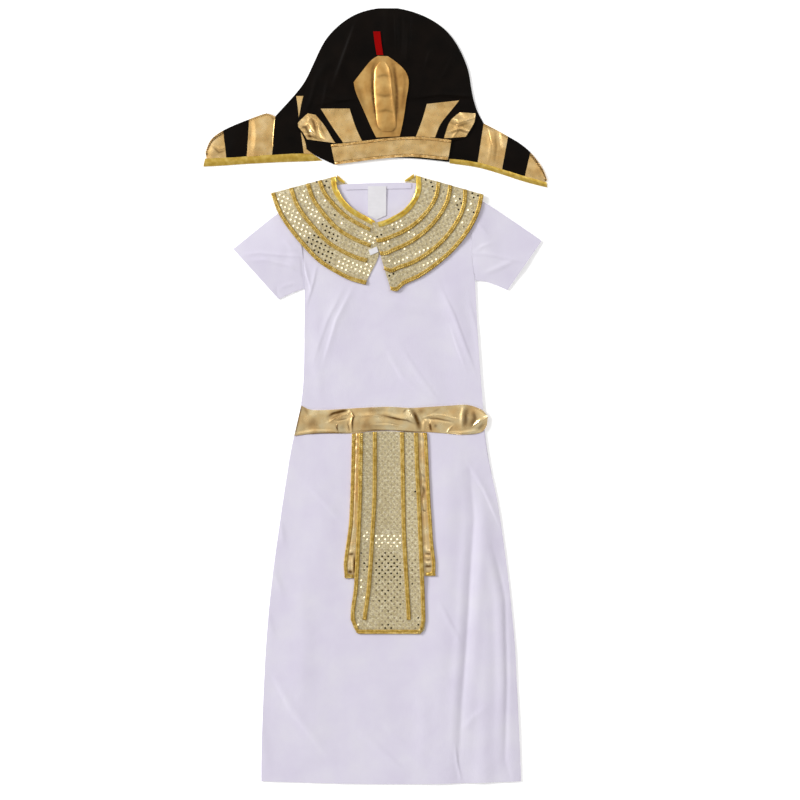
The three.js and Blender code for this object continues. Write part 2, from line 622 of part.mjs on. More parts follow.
// Collar halves, with their braids on the same points
const COLLAR_STEPS = 16;
function braidShares(braids, u) {
  return braids.map(([shoulder, middle, front]) => {
    const bend = middle - (shoulder + front) / 2;
    return mix(shoulder, front, u) + bend * 4 * u * (1 - u);
  });
}
function addCollar(side, rows, braids, below, bulge, power, lift) {
  const edges = betweenEdges(rows, 'neck', 'outer');
  const place = (w, u) => {
    const [x, y] = edges(w, u);
    return [x + bulge * Math.sin(Math.PI * w) ** power * u ** 8, y];
  };
  const grid = steps(COLLAR_STEPS).map((u) => {
    const depth = new THREE.Vector2(...edges(0, u)).distanceTo(new THREE.Vector2(...edges(1, u)));
    const half = BRAID / 2 / depth;
    const [first, second, third] = braidShares(braids, u);
    const shares = [0, BINDING / depth, first - half, first + half, second - half, second + half,
      (second + third) / 2, third - half, third + half, (third + 1) / 2, 1 - 2 * half, 1];
    return laid(shares, [u], place, below, 14, lift)[0];
  });
  const collar = addSheet(`collar_${side}`, SEQUINED, grid);
  // the right half's binding, and the left half's inner braids, end short of the centre front
  const pairs = (a, b, short = 0) => collar.top.slice(0, COLLAR_STEPS + 1 - short).map((row) => [row[a], row[b]]);
  const short = side === 'left' ? 1 : 0;
  addStrip(`collar_${side}_binding`, SATIN, pairs(0, 1, side === 'left' ? 0 : 2), BINDING_HEIGHT);
  addStrip(`collar_${side}_braid_1`, BRAIDED, pairs(2, 3, short), BRAID_HEIGHT);
  addStrip(`collar_${side}_braid_2`, BRAIDED, pairs(4, 5, short), BRAID_HEIGHT);
  addStrip(`collar_${side}_braid_3`, BRAIDED, pairs(7, 8, short), BRAID_HEIGHT);
  addStrip(`collar_${side}_braid_edge`, BRAIDED, pairs(10, 11), BRAID_HEIGHT);
  return collar;
}
const underCollar = [robeFront, sleeveLeft, sleeveRight, collarBack];
const collarLeft = addCollar('left', COLLAR_LEFT, BRAIDS_LEFT, underCollar, CENTRE_BULGE, 2, () => 0);
const overLeft = (x) => (WALL + GAP + BRAID_HEIGHT + GAP) * (1 - THREE.MathUtils.smoothstep(x, 16, 52));
addCollar('right', COLLAR_RIGHT, BRAIDS_RIGHT, underCollar, FRONT_BOW, 1, overLeft);
// The binding turns behind at each shoulder and goes down to the back of the neck
addPlanStrip('collar_left_turn', SATIN, [[[-64.5, 374], [-64.5, 367.5]], [[-57, 367.5], [-59.5, 362.8]],
  [[-50.5, 362.5], [-52.5, 359.6]]], BINDING_HEIGHT, [collarBack]);
addPlanStrip('collar_right_turn', SATIN, [[[50, 364.8], [51.5, 362.4]], [[58, 370], [60.5, 365.3]],
  [[66, 376], [66.5, 369.5]]], BINDING_HEIGHT, [collarBack]);
addSheet('size_tag', LABEL, laid([0, 0.5, 1], [0, 1],
  (u, v) => [mix(-8, 6, u) + mix(0, -3, v), mix(237, 243, u) + mix(0, 9, v)], [collarLeft], 7), THIN);

// The apron and its tabs are sewn to the belt's lower edge. Their rows go down from it, and the last two are as far
// apart as the braid along the bottom is wide.
const beltSeam = (x) => valueAt(beltRows, 'x', x, 'bottom') - SEAM - 0.4;
function addPanel(name, finish, rows, count, braid, shares, below, spread, lift = () => 0) {
  const [highest, lowest] = [rows[0].y, rows[rows.length - 1].y];
  const levels = [...steps(count).map((t) => mix(highest, lowest + braid, t)), lowest];
  const grid = levels.map((y) => {
    const row = {};
    for (const column of Object.keys(rows[0])) row[column] = valueAt(rows, 'y', y, column);
    const place = (u) => {
      const x = mix(row.left, row.right, u);
      return [x, mix(beltSeam(x), y, THREE.MathUtils.smoothstep(highest - y, 0, 40))];
    };
    return laid(shares(row), [y], place, below, spread, lift)[0];
  });
  return addSheet(name, finish, grid);
}
const downSide = (top, outer, inner) => top.slice(0, top.length - 2).map((row) => [row[outer], row[inner]]);
const atBottom = (top, outer, inner = outer) => [top[top.length - 1][outer], top[top.length - 2][inner]];

const TAB_BRAID = 6.0;
const TAB_PUFF = 1.4; // how far the gold strip beside the braid puffs up
function addTab(side, rows) {
  const outerSide = side === 'left' ? 0 : 1;
  const shares = ({ left, right }) => {
    const braid = TAB_BRAID / (right - left);
    const list = [0, braid, (braid + 0.5) / 2, 0.5, 1];
    return outerSide ? list.map((u) => 1 - u).reverse() : list;
  };
  const bottom = rows[rows.length - 1].y;
  const lift = (x, y, u) => {
    const inward = outerSide ? 1 - u : u;
    const strip = inward > 0.3 && inward < 0.49 ? 1 : 0;
    return strip * TAB_PUFF * THREE.MathUtils.smoothstep(y - bottom, 1.5 * TAB_BRAID, 4 * TAB_BRAID);
  };
  const tab = addPanel(`tab_${side}`, LAME, rows, 14, TAB_BRAID, shares, [robeFront], 9, lift);
  const [edge, next, middle] = outerSide ? [4, 3, 1] : [0, 1, 3];
  const pairs = [...downSide(tab.top, edge, next), atBottom(tab.top, edge, next), atBottom(tab.top, middle)];
  addStrip(`tab_${side}_braid`, BRAIDED, pairs, BRAID_HEIGHT);
  return tab;
}
const tabLeft = addTab('left', TAB_LEFT);
const tabRight = addTab('right', TAB_RIGHT);

const apronShares = ({ left, right, braidA, braidB }) => {
  const half = BRAID / 2 / (right - left);
  return [0, 2 * half, braidA - half, braidA + half, 0.5, braidB - half, braidB + half, 1 - 2 * half, 1];
};
const apron = addPanel('apron', SEQUINED, APRON, 20, BRAID, apronShares, [robeFront, tabLeft, tabRight], 13);
addStrip('apron_braid_edge', BRAIDED, [...downSide(apron.top, 0, 1), atBottom(apron.top, 0, 1),
  ...[2, 3, 4, 5, 6].map((column) => atBottom(apron.top, column)), atBottom(apron.top, 8, 7),
  ...downSide(apron.top, 8, 7).reverse()], BRAID_HEIGHT);
for (const [side, first, second] of [['left', 2, 3], ['right', 5, 6]]) {
  addStrip(`apron_braid_${side}`, BRAIDED, downSide(apron.top, first, second), BRAID_HEIGHT);
}

// The belt lies over the robe and comes down to its own back at both ends
const beltEdges = betweenEdges([BELT_LEFT_END,
  ...BELT.map(({ x, bottom, top }) => ({ bottom: [x, bottom], top: [x, top] })), BELT_TIP], 'bottom', 'top');
addSheet('belt_front', LAME, laid(steps(4), steps(42), beltEdges, [robeFront, beltBack], 9,
  (x, y, u) => foldLift(BELT_FOLDS, x, y) * Math.sin(Math.PI * u) ** 0.5));

// The headdress: back layer, wings of alternate gold and black, and the hood on top
const backEdges = betweenEdges(BACK_PANEL, 'left', 'right');
const backPanel = addSheet('headdress_back', BLACK, laid(steps(10), steps(BACK_PANEL.length - 1), (u, v) => {
  const [x, y] = backEdges(u, v);
  return [x, y + BACK_BOW * Math.sqrt(Math.abs(Math.sin(Math.PI * u))) * (1 - v) ** 4];
}));
const backStripe = addSheet('stripe_back_left', LAME,
  laid([0, 0.5, 1], steps(8), betweenEdges(BACK_STRIPE, 'left', 'right'), [backPanel], 12), THIN);

const WING_PARTS = {
  left: [{ part: 'gold', from: 0, to: 3 }, { part: 'black', from: 3, to: 5 }, { part: 'tip', from: 5, to: 8 }],
  right: [{ part: 'gold', from: 0, to: 2 }, { part: 'black', from: 2, to: 4 }, { part: 'tip', from: 4, to: 7 }],
};
const WING_RIPPLE = 1.2; // how far the loose cloth of the wings lifts between its edges
const RIM = 4.5; // width of the overlocked edge round the wings' tips
function addWing(side, rows, bindingRows) {
  const edges = betweenEdges(rows, 'bottom', 'top');
  const span = rows.length - 1;
  for (const { part, from, to } of WING_PARTS[side]) {
    const start = (from + (from ? 0.02 : 0)) / span;
    const end = (to - 0.02) / span;
    const lift = (x, y, u, v) => {
      const along = (v - start) / (end - start);
      return WING_RIPPLE * Math.sin(Math.PI * u) * Math.sin(Math.PI * along) ** 2;
    };
    const stations = steps(6).map((t) => mix(start, end, t));
    const sheet = addSheet(`wing_${side}_${part}`, part === 'black' ? BLACK : LAME,
      laid(steps(4), stations, edges, [], 6, lift));
    if (part === 'tip') {
      const foot = sheet.top[sheet.top.length - 1];
      const rim = [...sheet.top.map((row) => [row[4], row[3]]), [foot[2], sheet.top[sheet.top.length - 2][2]]];
      const pairs = rim.map(([a, b]) => {
        const share = Math.min(0.9, RIM / Math.hypot(b[0] - a[0], b[1] - a[1]));
        return [a, [0, 1, 2].map((k) => mix(a[k], b[k], share))];
      });
      addStrip(`wing_${side}_edge`, BRAIDED, pairs, 1.0);
    }
  }
  const binding = betweenEdges(bindingRows, 'lower', 'upper');
  const pairs = steps(14).map((v) => [binding(1, v), binding(0, v)]);
  addPlanStrip(`wing_${side}_binding`, SATIN, pairs, WING_BINDING_HEIGHT);
}
addWing('left', WING_LEFT, WING_BINDING_LEFT);
addWing('right', WING_RIGHT, WING_BINDING_RIGHT);

const HOOD_PUFF = 1.8; // how far the hood's front stands off its back in the middle
const hoodEdges = betweenEdges(HOOD, 'left', 'right');
const hood = addSheet('hood_front', BLACK, laid(steps(14), steps(22), (u, v) => {
  const [x, y] = hoodEdges(u, v);
  return [x, y + HOOD_BOW * Math.sin(Math.PI * u) * (1 - v) ** 4];
}, [backPanel, backStripe], 10, (x, y, u, v) => {
  const rise = Math.sin(Math.PI * u) * Math.min(1, 6 * v, 5 * (1 - v));
  return HOOD_PUFF * Math.sqrt(rise) + foldLift(HOOD_FOLDS, x, y) * Math.sqrt(Math.sin(Math.PI * u));
}));

for (const [name, rows] of Object.entries(STRIPES)) {
  addSheet(name, LAME, laid(steps(5), steps(7), betweenEdges(rows, 'left', 'right'), [hood], 7), THIN);
}
const bandEdges = betweenEdges(BROW_BAND, 'bottom', 'top');
addSheet('brow_band', LAME, laid(steps(2), steps(18), bandEdges, [hood], 8), BROW_WALL);
const cordShare = BROW_CORD / BROW_DEPTH;
for (const [name, low] of [['brow_cord_bottom', -0.02 - cordShare], ['brow_cord_top', 1.02]]) {
  const pairs = steps(18).map((v) => [bandEdges(low + cordShare, v), bandEdges(low, v)]);
  addPlanStrip(name, BRAIDED, pairs, BRAID_HEIGHT, [hood], 5);
}

// The cobra on the brow, its stuffed body and its tongue
const cobraEdges = betweenEdges(COBRA, 'left', 'right');
const cobra = addSheet('cobra_hood', LAME, laid(steps(6), steps(12), cobraEdges, [hood], 9), BROW_WALL);
const padEdges = betweenEdges(COBRA_PAD, 'left', 'right');
const padRings = steps(14).map((v) => {
  const [left, right] = [padEdges(0, v), padEdges(1, v)];
  const seat = Math.max(...steps(2).map((u) => restingHeight(...mixPoints(left, right, u), [cobra], 5)));
  const height = PAD_HEIGHT * Math.sqrt(Math.max(0.06, Math.sin(Math.PI * mix(0.04, 0.96, v))));
  const arc = steps(6).map((u) => {
    const [x, y] = mixPoints(left, right, 0.5 + 0.5 * Math.cos(Math.PI * u));
    return [x, y, seat + 0.8 + (height - 0.8) * Math.sin(Math.PI * u)];
  });
  return [[...left, seat], [...right, seat], ...arc];
});
addRings('cobra_body', LAME, padRings);
addSheet('cobra_tongue', RED, laid([0, 1], steps(4), betweenEdges(TONGUE, 'left', 'right'), [hood], 6));

export default costume;
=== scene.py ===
# %% [markdown]
# An Egyptian king's fancy dress, laid out flat and seen from straight above: a white robe, a sequined
# collar, a gold belt with a sequined apron, and a striped black and gold headdress with a cobra. All of
# it is cloth. The solid parts come in as a fixed frame, and each cell below dresses some of them: it
# copies a solid, makes it smooth and fine, presses the creases into it, and gives it a finish. What
# repeats, such as sequins and plaited braid, is made with Geometry Nodes.

# %% Load the fixed frame
import math
from collections import namedtuple

import bmesh
import bpy
import numpy as np
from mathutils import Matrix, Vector
from mathutils.bvhtree import BVHTree
from mathutils.noise import noise as cloud


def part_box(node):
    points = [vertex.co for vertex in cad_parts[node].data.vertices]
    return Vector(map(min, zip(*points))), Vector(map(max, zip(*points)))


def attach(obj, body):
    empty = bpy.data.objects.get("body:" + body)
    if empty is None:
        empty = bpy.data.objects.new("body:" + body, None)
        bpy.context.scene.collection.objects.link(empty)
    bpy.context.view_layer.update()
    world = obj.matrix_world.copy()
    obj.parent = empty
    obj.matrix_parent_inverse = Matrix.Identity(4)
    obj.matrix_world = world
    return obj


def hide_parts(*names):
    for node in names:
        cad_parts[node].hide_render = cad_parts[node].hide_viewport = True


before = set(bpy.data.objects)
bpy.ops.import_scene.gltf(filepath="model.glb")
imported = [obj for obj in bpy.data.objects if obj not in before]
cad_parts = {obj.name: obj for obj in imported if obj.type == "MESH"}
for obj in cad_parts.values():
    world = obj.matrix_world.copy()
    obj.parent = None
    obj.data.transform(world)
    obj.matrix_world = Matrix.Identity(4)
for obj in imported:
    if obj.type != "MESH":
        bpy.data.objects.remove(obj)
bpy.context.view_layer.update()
MM = 0.001
print("solids in the frame:", len(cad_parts))

# %% [markdown]
# The outfit was photographed from straight above. Positions below are read off that picture, so one small
# function turns a place in it into metres on the table. The camera hangs over the middle of the picture,
# far enough away that 800 pixels cover 1.36 m.

# %% Camera straight above the table
PIXEL = 1.7 * MM  # what one pixel of the picture covers
PICTURE_ORIGIN = (375.0, 395.0)
CAMERA_OVER = (42.5 * MM, -8.5 * MM)
CAMERA_LENS = 85.0
CAMERA_SENSOR = 36.0
CAMERA_HEIGHT = 800 * PIXEL * CAMERA_LENS / CAMERA_SENSOR


def plan(place):
    """A place in the picture, right and down in pixels, as x and y on the table in metres."""
    return ((place[0] - PICTURE_ORIGIN[0]) * PIXEL, (PICTURE_ORIGIN[1] - place[1]) * PIXEL)


camera_data = bpy.data.cameras.new("camera_above")
camera_data.lens = CAMERA_LENS
camera_data.sensor_width = CAMERA_SENSOR
camera_data.clip_end = 20.0
camera = bpy.data.objects.new("camera_above", camera_data)
camera.location = (CAMERA_OVER[0], CAMERA_OVER[1], CAMERA_HEIGHT)
bpy.context.collection.objects.link(camera)
bpy.context.scene.camera = camera
print("camera height in metres:", round(CAMERA_HEIGHT, 3))

# %% [markdown]
# Every finish is a node tree. Colours are written as the hex values a paint program shows, and one
# function turns them into the linear values that a render works with. One more function adds a node with
# its settings and links.

# %% Helpers for node trees


def linear(hex_colour):
    """An sRGB hex colour such as "C8A050" as a linear RGBA value."""
    parts = [int(hex_colour[i:i + 2], 16) / 255 for i in (0, 2, 4)]
    return tuple(c / 12.92 if c <= 0.04045 else ((c + 0.055) / 1.055) ** 2.4 for c in parts) + (1.0,)


def add_node(tree, kind, inputs=None, stops=(), **settings):
    """Adds one node. Settings are its own properties, stops the (position, hex colour) stops of a
    ramp, and inputs are values, or sockets to link from."""
    node = tree.nodes.new(kind)
    for name, value in settings.items():
        setattr(node, name, value)
    for i, (position, hex_colour) in enumerate(stops):
        elements = node.color_ramp.elements
        element = elements[i] if i < 2 else elements.new(position)
        element.position = position
        element.color = linear(hex_colour)
    for name, value in (inputs or {}).items():
        if isinstance(value, bpy.types.NodeSocket):
            tree.links.new(value, node.inputs[name])
        else:
            node.inputs[name].default_value = value
    return node


def new_material(name, **surface):
    """An empty finish: its tree, its surface with the constants set, and the piece's own coordinates."""
    material = bpy.data.materials.new(name)
    material.use_nodes = True
    tree = material.node_tree
    shader = tree.nodes["Principled BSDF"]
    for socket, value in surface.items():
        shader.inputs[socket.replace("_", " ")].default_value = value
    where = add_node(tree, "ShaderNodeTexCoord").outputs["Object"]
    return material, tree, shader, where


def clouded(tree, where, patch_mm, stops, detail=2.0):
    """Clouds of colour whose patches are about patch_mm across."""
    patches = add_node(tree, "ShaderNodeTexNoise",
                       {"Vector": where, "Scale": 1000 / patch_mm, "Detail": detail})
    return add_node(tree, "ShaderNodeValToRGB", {"Fac": patches.outputs["Fac"]}, stops).outputs["Color"]


def relief(tree, shader, where, *layers):
    """Relief laid on relief. Each layer is a patch size in mm or a height socket, and its depth in mm."""
    normal = None
    for pattern, depth_mm in layers:
        if not isinstance(pattern, bpy.types.NodeSocket):
            clouds = add_node(tree, "ShaderNodeTexNoise", {"Vector": where, "Scale": 1000 / pattern})
            pattern = clouds.outputs["Fac"]
        inputs = {"Height": pattern, "Distance": depth_mm * MM}
        if normal is not None:
            inputs["Normal"] = normal
        normal = add_node(tree, "ShaderNodeBump", inputs).outputs["Normal"]
    tree.links.new(normal, shader.inputs["Normal"])


def clouded_finish(name, patch_mm, stops, *layers, detail=2.0, **surface):
    """A finish whose colour is clouded, with the layers of its relief."""
    material, tree, shader, where = new_material(name, **surface)
    tree.links.new(clouded(tree, where, patch_mm, stops, detail), shader.inputs["Base Color"])
    if layers:
        relief(tree, shader, where, *layers)
    return material


# %% [markdown]
# A studio table for small goods is a white sheet under big soft lamps. The sheet is a plane. One large
# lamp stands at the upper left, one at the upper right gleams on the gold film, a weak low one stands in
# front, and a small one flashes back from tilted sequins. The room itself is pale, darker towards the
# front, with a dark patch right overhead where the camera hangs. Small mirrors such as sequins show that
# dark patch when they lie flat. The paper glows a little, as paper under a lightbox does.

# %% Floor, lamps and room


def add_lamp(name, place, size, power, aim=(0.0, 0.0, 0.0)):
    """A square soft lamp that points at aim."""
    data = bpy.data.lights.new(name, "AREA")
    data.shape = "SQUARE"
    data.size = size
    data.energy = power
    lamp = bpy.data.objects.new(name, data)
    lamp.location = place
    lamp.rotation_euler = (Vector(aim) - Vector(place)).to_track_quat("-Z", "Y").to_euler()
    bpy.context.collection.objects.link(lamp)


TABLE_REACH = 4.0  # metres from the middle to each side
TABLE_TOP = -0.3 * MM  # just under the cloth
floor_mesh = bpy.data.meshes.new("white_table")
floor_mesh.from_pydata([(x * TABLE_REACH, y * TABLE_REACH, TABLE_TOP)
                        for x, y in ((-1, -1), (1, -1), (1, 1), (-1, 1))], [], [(0, 1, 2, 3)])
floor = bpy.data.objects.new("white_table", floor_mesh)
bpy.context.collection.objects.link(floor)
# Matt white paper: even and bright, with a trace of cloud
floor_mesh.materials.append(clouded_finish("matt_white_paper", 300, [(0.0, "FAFAFA"), (1.0, "FDFDFD")],
                                           Roughness=0.9, Emission_Strength=0.24))

FLASH_LAMP = (-1.3, 0.9, 3.0)
add_lamp("soft_lamp_left", (-8.0, 3.5, 4.8), 2.9, 870)
add_lamp("flash_lamp", FLASH_LAMP, 0.7, 2.2)
add_lamp("gloss_lamp", (1.7, 1.9, 2.9), 1.0, 20)
add_lamp("low_lamp_front", (0.3, -4.2, 1.9), 1.0, 45)

ROOM_LIGHT = 0.66
world = bpy.data.worlds.new("pale_room")
bpy.context.scene.world = world
world.use_nodes = True
tree = world.node_tree
direction = add_node(tree, "ShaderNodeTexCoord").outputs["Generated"]
heading = add_node(tree, "ShaderNodeSeparateXYZ", {"Vector": direction})
room = add_node(tree, "ShaderNodeValToRGB", {"Fac": heading.outputs["Z"]},
                [(0.0, "FFFFFF"), (0.93, "F8F8F8"), (0.988, "E4E2E0"), (0.9965, "2A2826")]).outputs["Color"]
for axis, start, end, stops in (("X", -0.5, 0.5, [(0.0, "FFFFFF"), (1.0, "DCDAD8")]),
                                ("Y", -0.7, 0.1, [(0.0, "949290"), (1.0, "FFFFFF")])):
    along = add_node(tree, "ShaderNodeMapRange",
                     {"Value": heading.outputs[axis], "From Min": start, "From Max": end})
    shade = add_node(tree, "ShaderNodeValToRGB", {"Fac": along.outputs["Result"]}, stops)
    room = add_node(tree, "ShaderNodeMix", {"Factor": 1.0, 6: room, 7: shade.outputs["Color"]},
                    data_type="RGBA", blend_type="MULTIPLY").outputs[2]
tree.links.new(room, tree.nodes["Background"].inputs["Color"])
tree.nodes["Background"].inputs["Strength"].default_value = ROOM_LIGHT
bpy.context.scene.view_settings.view_transform = "Standard"
print("lamps:", len(bpy.data.lights))

# %% [markdown]
# The robe is thin white polyester knit. It is nearly matt, with a faint sheen where it turns away, and
# looks a little lavender. Knit loops are about half a millimetre wide, too fine for the picture, so they
# are drawn at 1.5 mm, and soft clouds of a few centimetres keep large plain areas from looking like
# paper.

# %% Robe cloth
robe_cloth, tree, shader, where = new_material("white_polyester_knit", Roughness=0.62, Sheen_Weight=0.25,
                                               Sheen_Roughness=0.4)
tree.links.new(clouded(tree, where, 55, [(0.3, "D5CFE1"), (0.5, "D8D3E3"), (0.7, "DBD7E4")], detail=3.0),
               shader.inputs["Base Color"])
loops = add_node(tree, "ShaderNodeTexVoronoi", {"Vector": where, "Scale": 1000 / 1.5}).outputs["Distance"]
relief(tree, shader, where, (26, 0.5), (loops, 0.08))

# %% [markdown]
# The collar and the apron are glitter knit: beige cloth with foil flecks printed all over it. A cell
# pattern with a random value in each cell is the flecks, and the same value tips the surface a little, so
# that some flecks catch the lamps. Flecks are about half a millimetre; here they are 1.7 mm so that the
# picture can show them.

# %% Glitter knit
glitter_knit, tree, shader, where = new_material("foil_flecked_knit", Roughness=0.45, Metallic=0.2)
flecks = add_node(tree, "ShaderNodeTexVoronoi", {"Vector": where, "Scale": 1000 / 1.7})
level = add_node(tree, "ShaderNodeSeparateColor", {"Color": flecks.outputs["Color"]}).outputs["Red"]
tint = add_node(tree, "ShaderNodeValToRGB", {"Fac": level},
                [(0.0, "B0A076"), (0.4, "C2B28B"), (0.75, "CFC199"), (1.0, "E6DDC0")])
tree.links.new(tint.outputs["Color"], shader.inputs["Base Color"])
relief(tree, shader, where, (level, 0.12))

# %% [markdown]
# Sequins here are small round dots of silvered plastic film. Flat film with a metal back reflects like a
# mirror, so the finish is a pale champagne metal that is almost smooth.

# %% Sequin foil
sequin_foil = clouded_finish("champagne_sequin_foil", 9, [(0.3, "E6D6AE"), (0.7, "FCEFD2")],
                             Metallic=1.0, Roughness=0.1)

# %% [markdown]
# The braids are plaited from metallic yarn: gold film wound on a core. The film makes it metallic, and
# the winding makes it rough with fine cross lines, brighter on the yarns and dark between them.

# %% Gold yarn
gold_yarn = clouded_finish("gold_film_yarn", 6, [(0.3, "A8842F"), (0.5, "C6A44E"), (0.7, "E2C87C")],
                           (0.9, 0.06), detail=3.0, Metallic=0.6, Roughness=0.4)
# The headdress has a paler and rosier yarn, twisted with the same film as its stripes
cord_yarn = clouded_finish("pale_gold_film_yarn", 6, [(0.3, "B88C4A"), (0.5, "DCB470"), (0.7, "F4D294")],
                           (0.9, 0.06), detail=3.0, Metallic=0.6, Roughness=0.36)
# The wings' edges are overlocked with brown thread under the gold
brown_thread = clouded_finish("brown_overlock_thread", 3, [(0.3, "4A3212"), (0.7, "7A5A26")],
                              (1.0, 0.1), Roughness=0.7, Metallic=0.2)

# %% [markdown]
# The belt and the stripes are lame: knit with a gold film pressed on. The film is smooth enough for soft,
# stretched reflections, and the knit below shows as a fine grain. Wrinkles of a centimetre and less break
# the reflections up. Along folds and creases, shade is painted into the colour as a brown mixed into the
# film. Each piece carries its own attribute from 0 to 1 that says where this painted shade lies.

# %% Gold lame


def lame(name, dark, middle, light, roughness):
    """Gold film on knit, in three shades of gold, turned brown by painted shade where the piece's attribute
    says.
    """
    material, tree, shader, where = new_material(name, Metallic=0.6)
    film = clouded(tree, where, 22, [(0.3, dark), (0.5, middle), (0.7, light)], detail=3.0)
    # painted shade: the brown that the film turns to along creases and folds
    painted_shade_brown = clouded(tree, where, 4, [(0.3, "5E3C12"), (0.7, "86602A")])
    worn = add_node(tree, "ShaderNodeAttribute", attribute_name="worn").outputs["Fac"]
    colour = add_node(tree, "ShaderNodeMix", {0: worn, 6: film, 7: painted_shade_brown}, data_type="RGBA")
    tree.links.new(colour.outputs[2], shader.inputs["Base Color"])
    streaks = add_node(tree, "ShaderNodeTexNoise", {"Vector": where, "Scale": 1000 / 7})
    rough = add_node(tree, "ShaderNodeMapRange", {
        "Value": streaks.outputs["Fac"], "To Min": roughness - 0.06, "To Max": roughness + 0.08})
    tree.links.new(rough.outputs["Result"], shader.inputs["Roughness"])
    relief(tree, shader, where, (20, 0.35), (1.3, 0.03))
    return material


belt_lame = lame("gold_film_on_knit", "F2C888", "FCDCA0", "FFECBC", 0.24)
stripe_lame = lame("pale_gold_film_on_knit", "E4B670", "F0C884", "FCDA9E", 0.27)
cobra_lame = lame("antique_gold_film_on_knit", "BE8C48", "D0A058", "E2B870", 0.36)

# %% [markdown]
# The edges of the collar and of the headdress's wings are bound with yellow satin ribbon. Satin has long
# floats of shiny thread, so it gleams, and it ripples softly where it is sewn down.

# %% Satin ribbon
neck_satin = clouded_finish("bright_yellow_satin_ribbon", 8,
                            [(0.3, "E4B440"), (0.5, "F6D058"), (0.7, "FFE888")], (6, 0.15),
                            Metallic=0.6, Roughness=0.22)
wing_satin = clouded_finish("mustard_satin_ribbon", 8,
                            [(0.3, "C49E3C"), (0.5, "D4B04C"), (0.7, "E6C668")], (6, 0.15),
                            Metallic=0.6, Roughness=0.32)

# %% [markdown]
# The headdress is black brushed knit. It is almost matt, but its loose fibres lighten it a little where
# it turns towards the lamps, with a warm brown tint.

# %% Black cloth
black_cloth = clouded_finish("black_brushed_knit", 30, [(0.3, "080503"), (0.7, "100A06")], (24, 0.4),
                             (1.2, 0.05), detail=3.0, Roughness=0.48, Specular_IOR_Level=0.06)

# %% [markdown]
# The tongue is a strip of red felt, matt and a little fuzzy. The labels are white woven ribbon, left
# blank.

# %% Felt and label ribbon
red_felt = clouded_finish("red_felt", 2, [(0.3, "820202"), (0.7, "960302")], (1.0, 0.2), detail=3.0,
                          Roughness=0.9, Specular_IOR_Level=0.06)
label_ribbon, tree, shader, where = new_material("white_label_ribbon", Roughness=0.5)
tree.links.new(clouded(tree, where, 12, [(0.3, "DEDCE0"), (0.7, "E4E2E6")]), shader.inputs["Base Color"])
ribs = add_node(tree, "ShaderNodeTexWave", {"Vector": where, "Scale": 1000 / 20}, bands_direction="Y")
relief(tree, shader, where, (ribs.outputs["Fac"], 0.05))

# %% [markdown]
# A laid-out garment is nearly flat, so its form is a height over the table. Each piece starts as a copy
# of its solid with the doubles merged and the triangles paired into quads. Subdivision rounds it, and
# creases keep its rims sharp. Then the top side is cut finer, and each crease from a table lifts or
# lowers it. A crease is a path with a width and a height; side makes it steep on one side, as where cloth
# folds over. Nothing may rise into the piece that lies on it, so a ray upwards limits the lift.

# %% Helpers that turn a solid into cloth
Crease = namedtuple("Crease", "path width height side", defaults=(0,))
TOP_SIDE = 0.55  # faces whose normal's z is above this belong to the top side
CORNER = math.radians(24)  # where an outline turns more than this it keeps its corner
RIM_ANGLE = math.radians(42)  # an edge that bends more than this stays sharp
MERGE = 0.002 * MM
FAR = 1e9


def quads_from(mesh):
    """The solid's triangles, merged and paired into quads, with its sharp rims creased."""
    shape = bmesh.new()
    shape.from_mesh(mesh)
    bmesh.ops.remove_doubles(shape, verts=shape.verts, dist=MERGE)
    bmesh.ops.join_triangles(shape, faces=shape.faces, angle_face_threshold=math.radians(30),
                             angle_shape_threshold=math.radians(75))
    rim = shape.edges.layers.float.new("crease_edge")
    for edge in shape.edges:
        if len(edge.link_faces) == 2 and edge.calc_face_angle(0) > RIM_ANGLE:
            edge[rim] = 1.0
    corner = shape.verts.layers.float.new("crease_vert")
    for vertex in shape.verts:
        rims = [e.other_vert(vertex).co - vertex.co for e in vertex.link_edges if e[rim] > 0.5]
        flat_rims = [r.xy for r in rims if r.xy.length > abs(r.z)]
        if len(flat_rims) == 2 and flat_rims[0].angle(-flat_rims[1]) > CORNER:
            vertex[corner] = 1.0
    return shape


def evaluated_mesh(piece, name):
    """The piece with its modifiers applied, as a plain mesh."""
    bpy.context.view_layer.update()
    graph = bpy.context.evaluated_depsgraph_get()
    mesh = bpy.data.meshes.new_from_object(
        piece.evaluated_get(graph), preserve_all_data_layers=True, depsgraph=graph)
    mesh.name = name
    return mesh


def rounded(shape, name, levels):
    """Subdivides the shape and gives the result as a new shape."""
    mesh = bpy.data.meshes.new(name)
    shape.to_mesh(mesh)
    shape.free()
    piece = bpy.data.objects.new(name, mesh)
    bpy.context.collection.objects.link(piece)
    modifier = piece.modifiers.new("rounding", "SUBSURF")
    modifier.levels = levels
    modifier.render_levels = levels
    result = evaluated_mesh(piece, name)
    bpy.data.objects.remove(piece)
    finer = bmesh.new()
    finer.from_mesh(result)
    return finer


def top_faces(shape):
    """The faces that look up."""
    return [face for face in shape.faces if face.normal.z > TOP_SIDE]


def cut_finer(shape, cuts):
    """Cuts the top side's faces into a finer grid and evens out its heights."""
    faces = top_faces(shape)
    edges = {e for face in faces for e in face.edges if all(f.normal.z > TOP_SIDE for f in e.link_faces)}
    bmesh.ops.subdivide_edges(shape, edges=list(edges), cuts=cuts, use_grid_fill=True)
    shape.normal_update()
    inner = [v for v in shape.verts if all(f.normal.z > TOP_SIDE for f in v.link_faces)]
    for _ in range(cuts * 2):
        bmesh.ops.smooth_vert(shape, verts=inner, factor=0.5, use_axis_z=True)


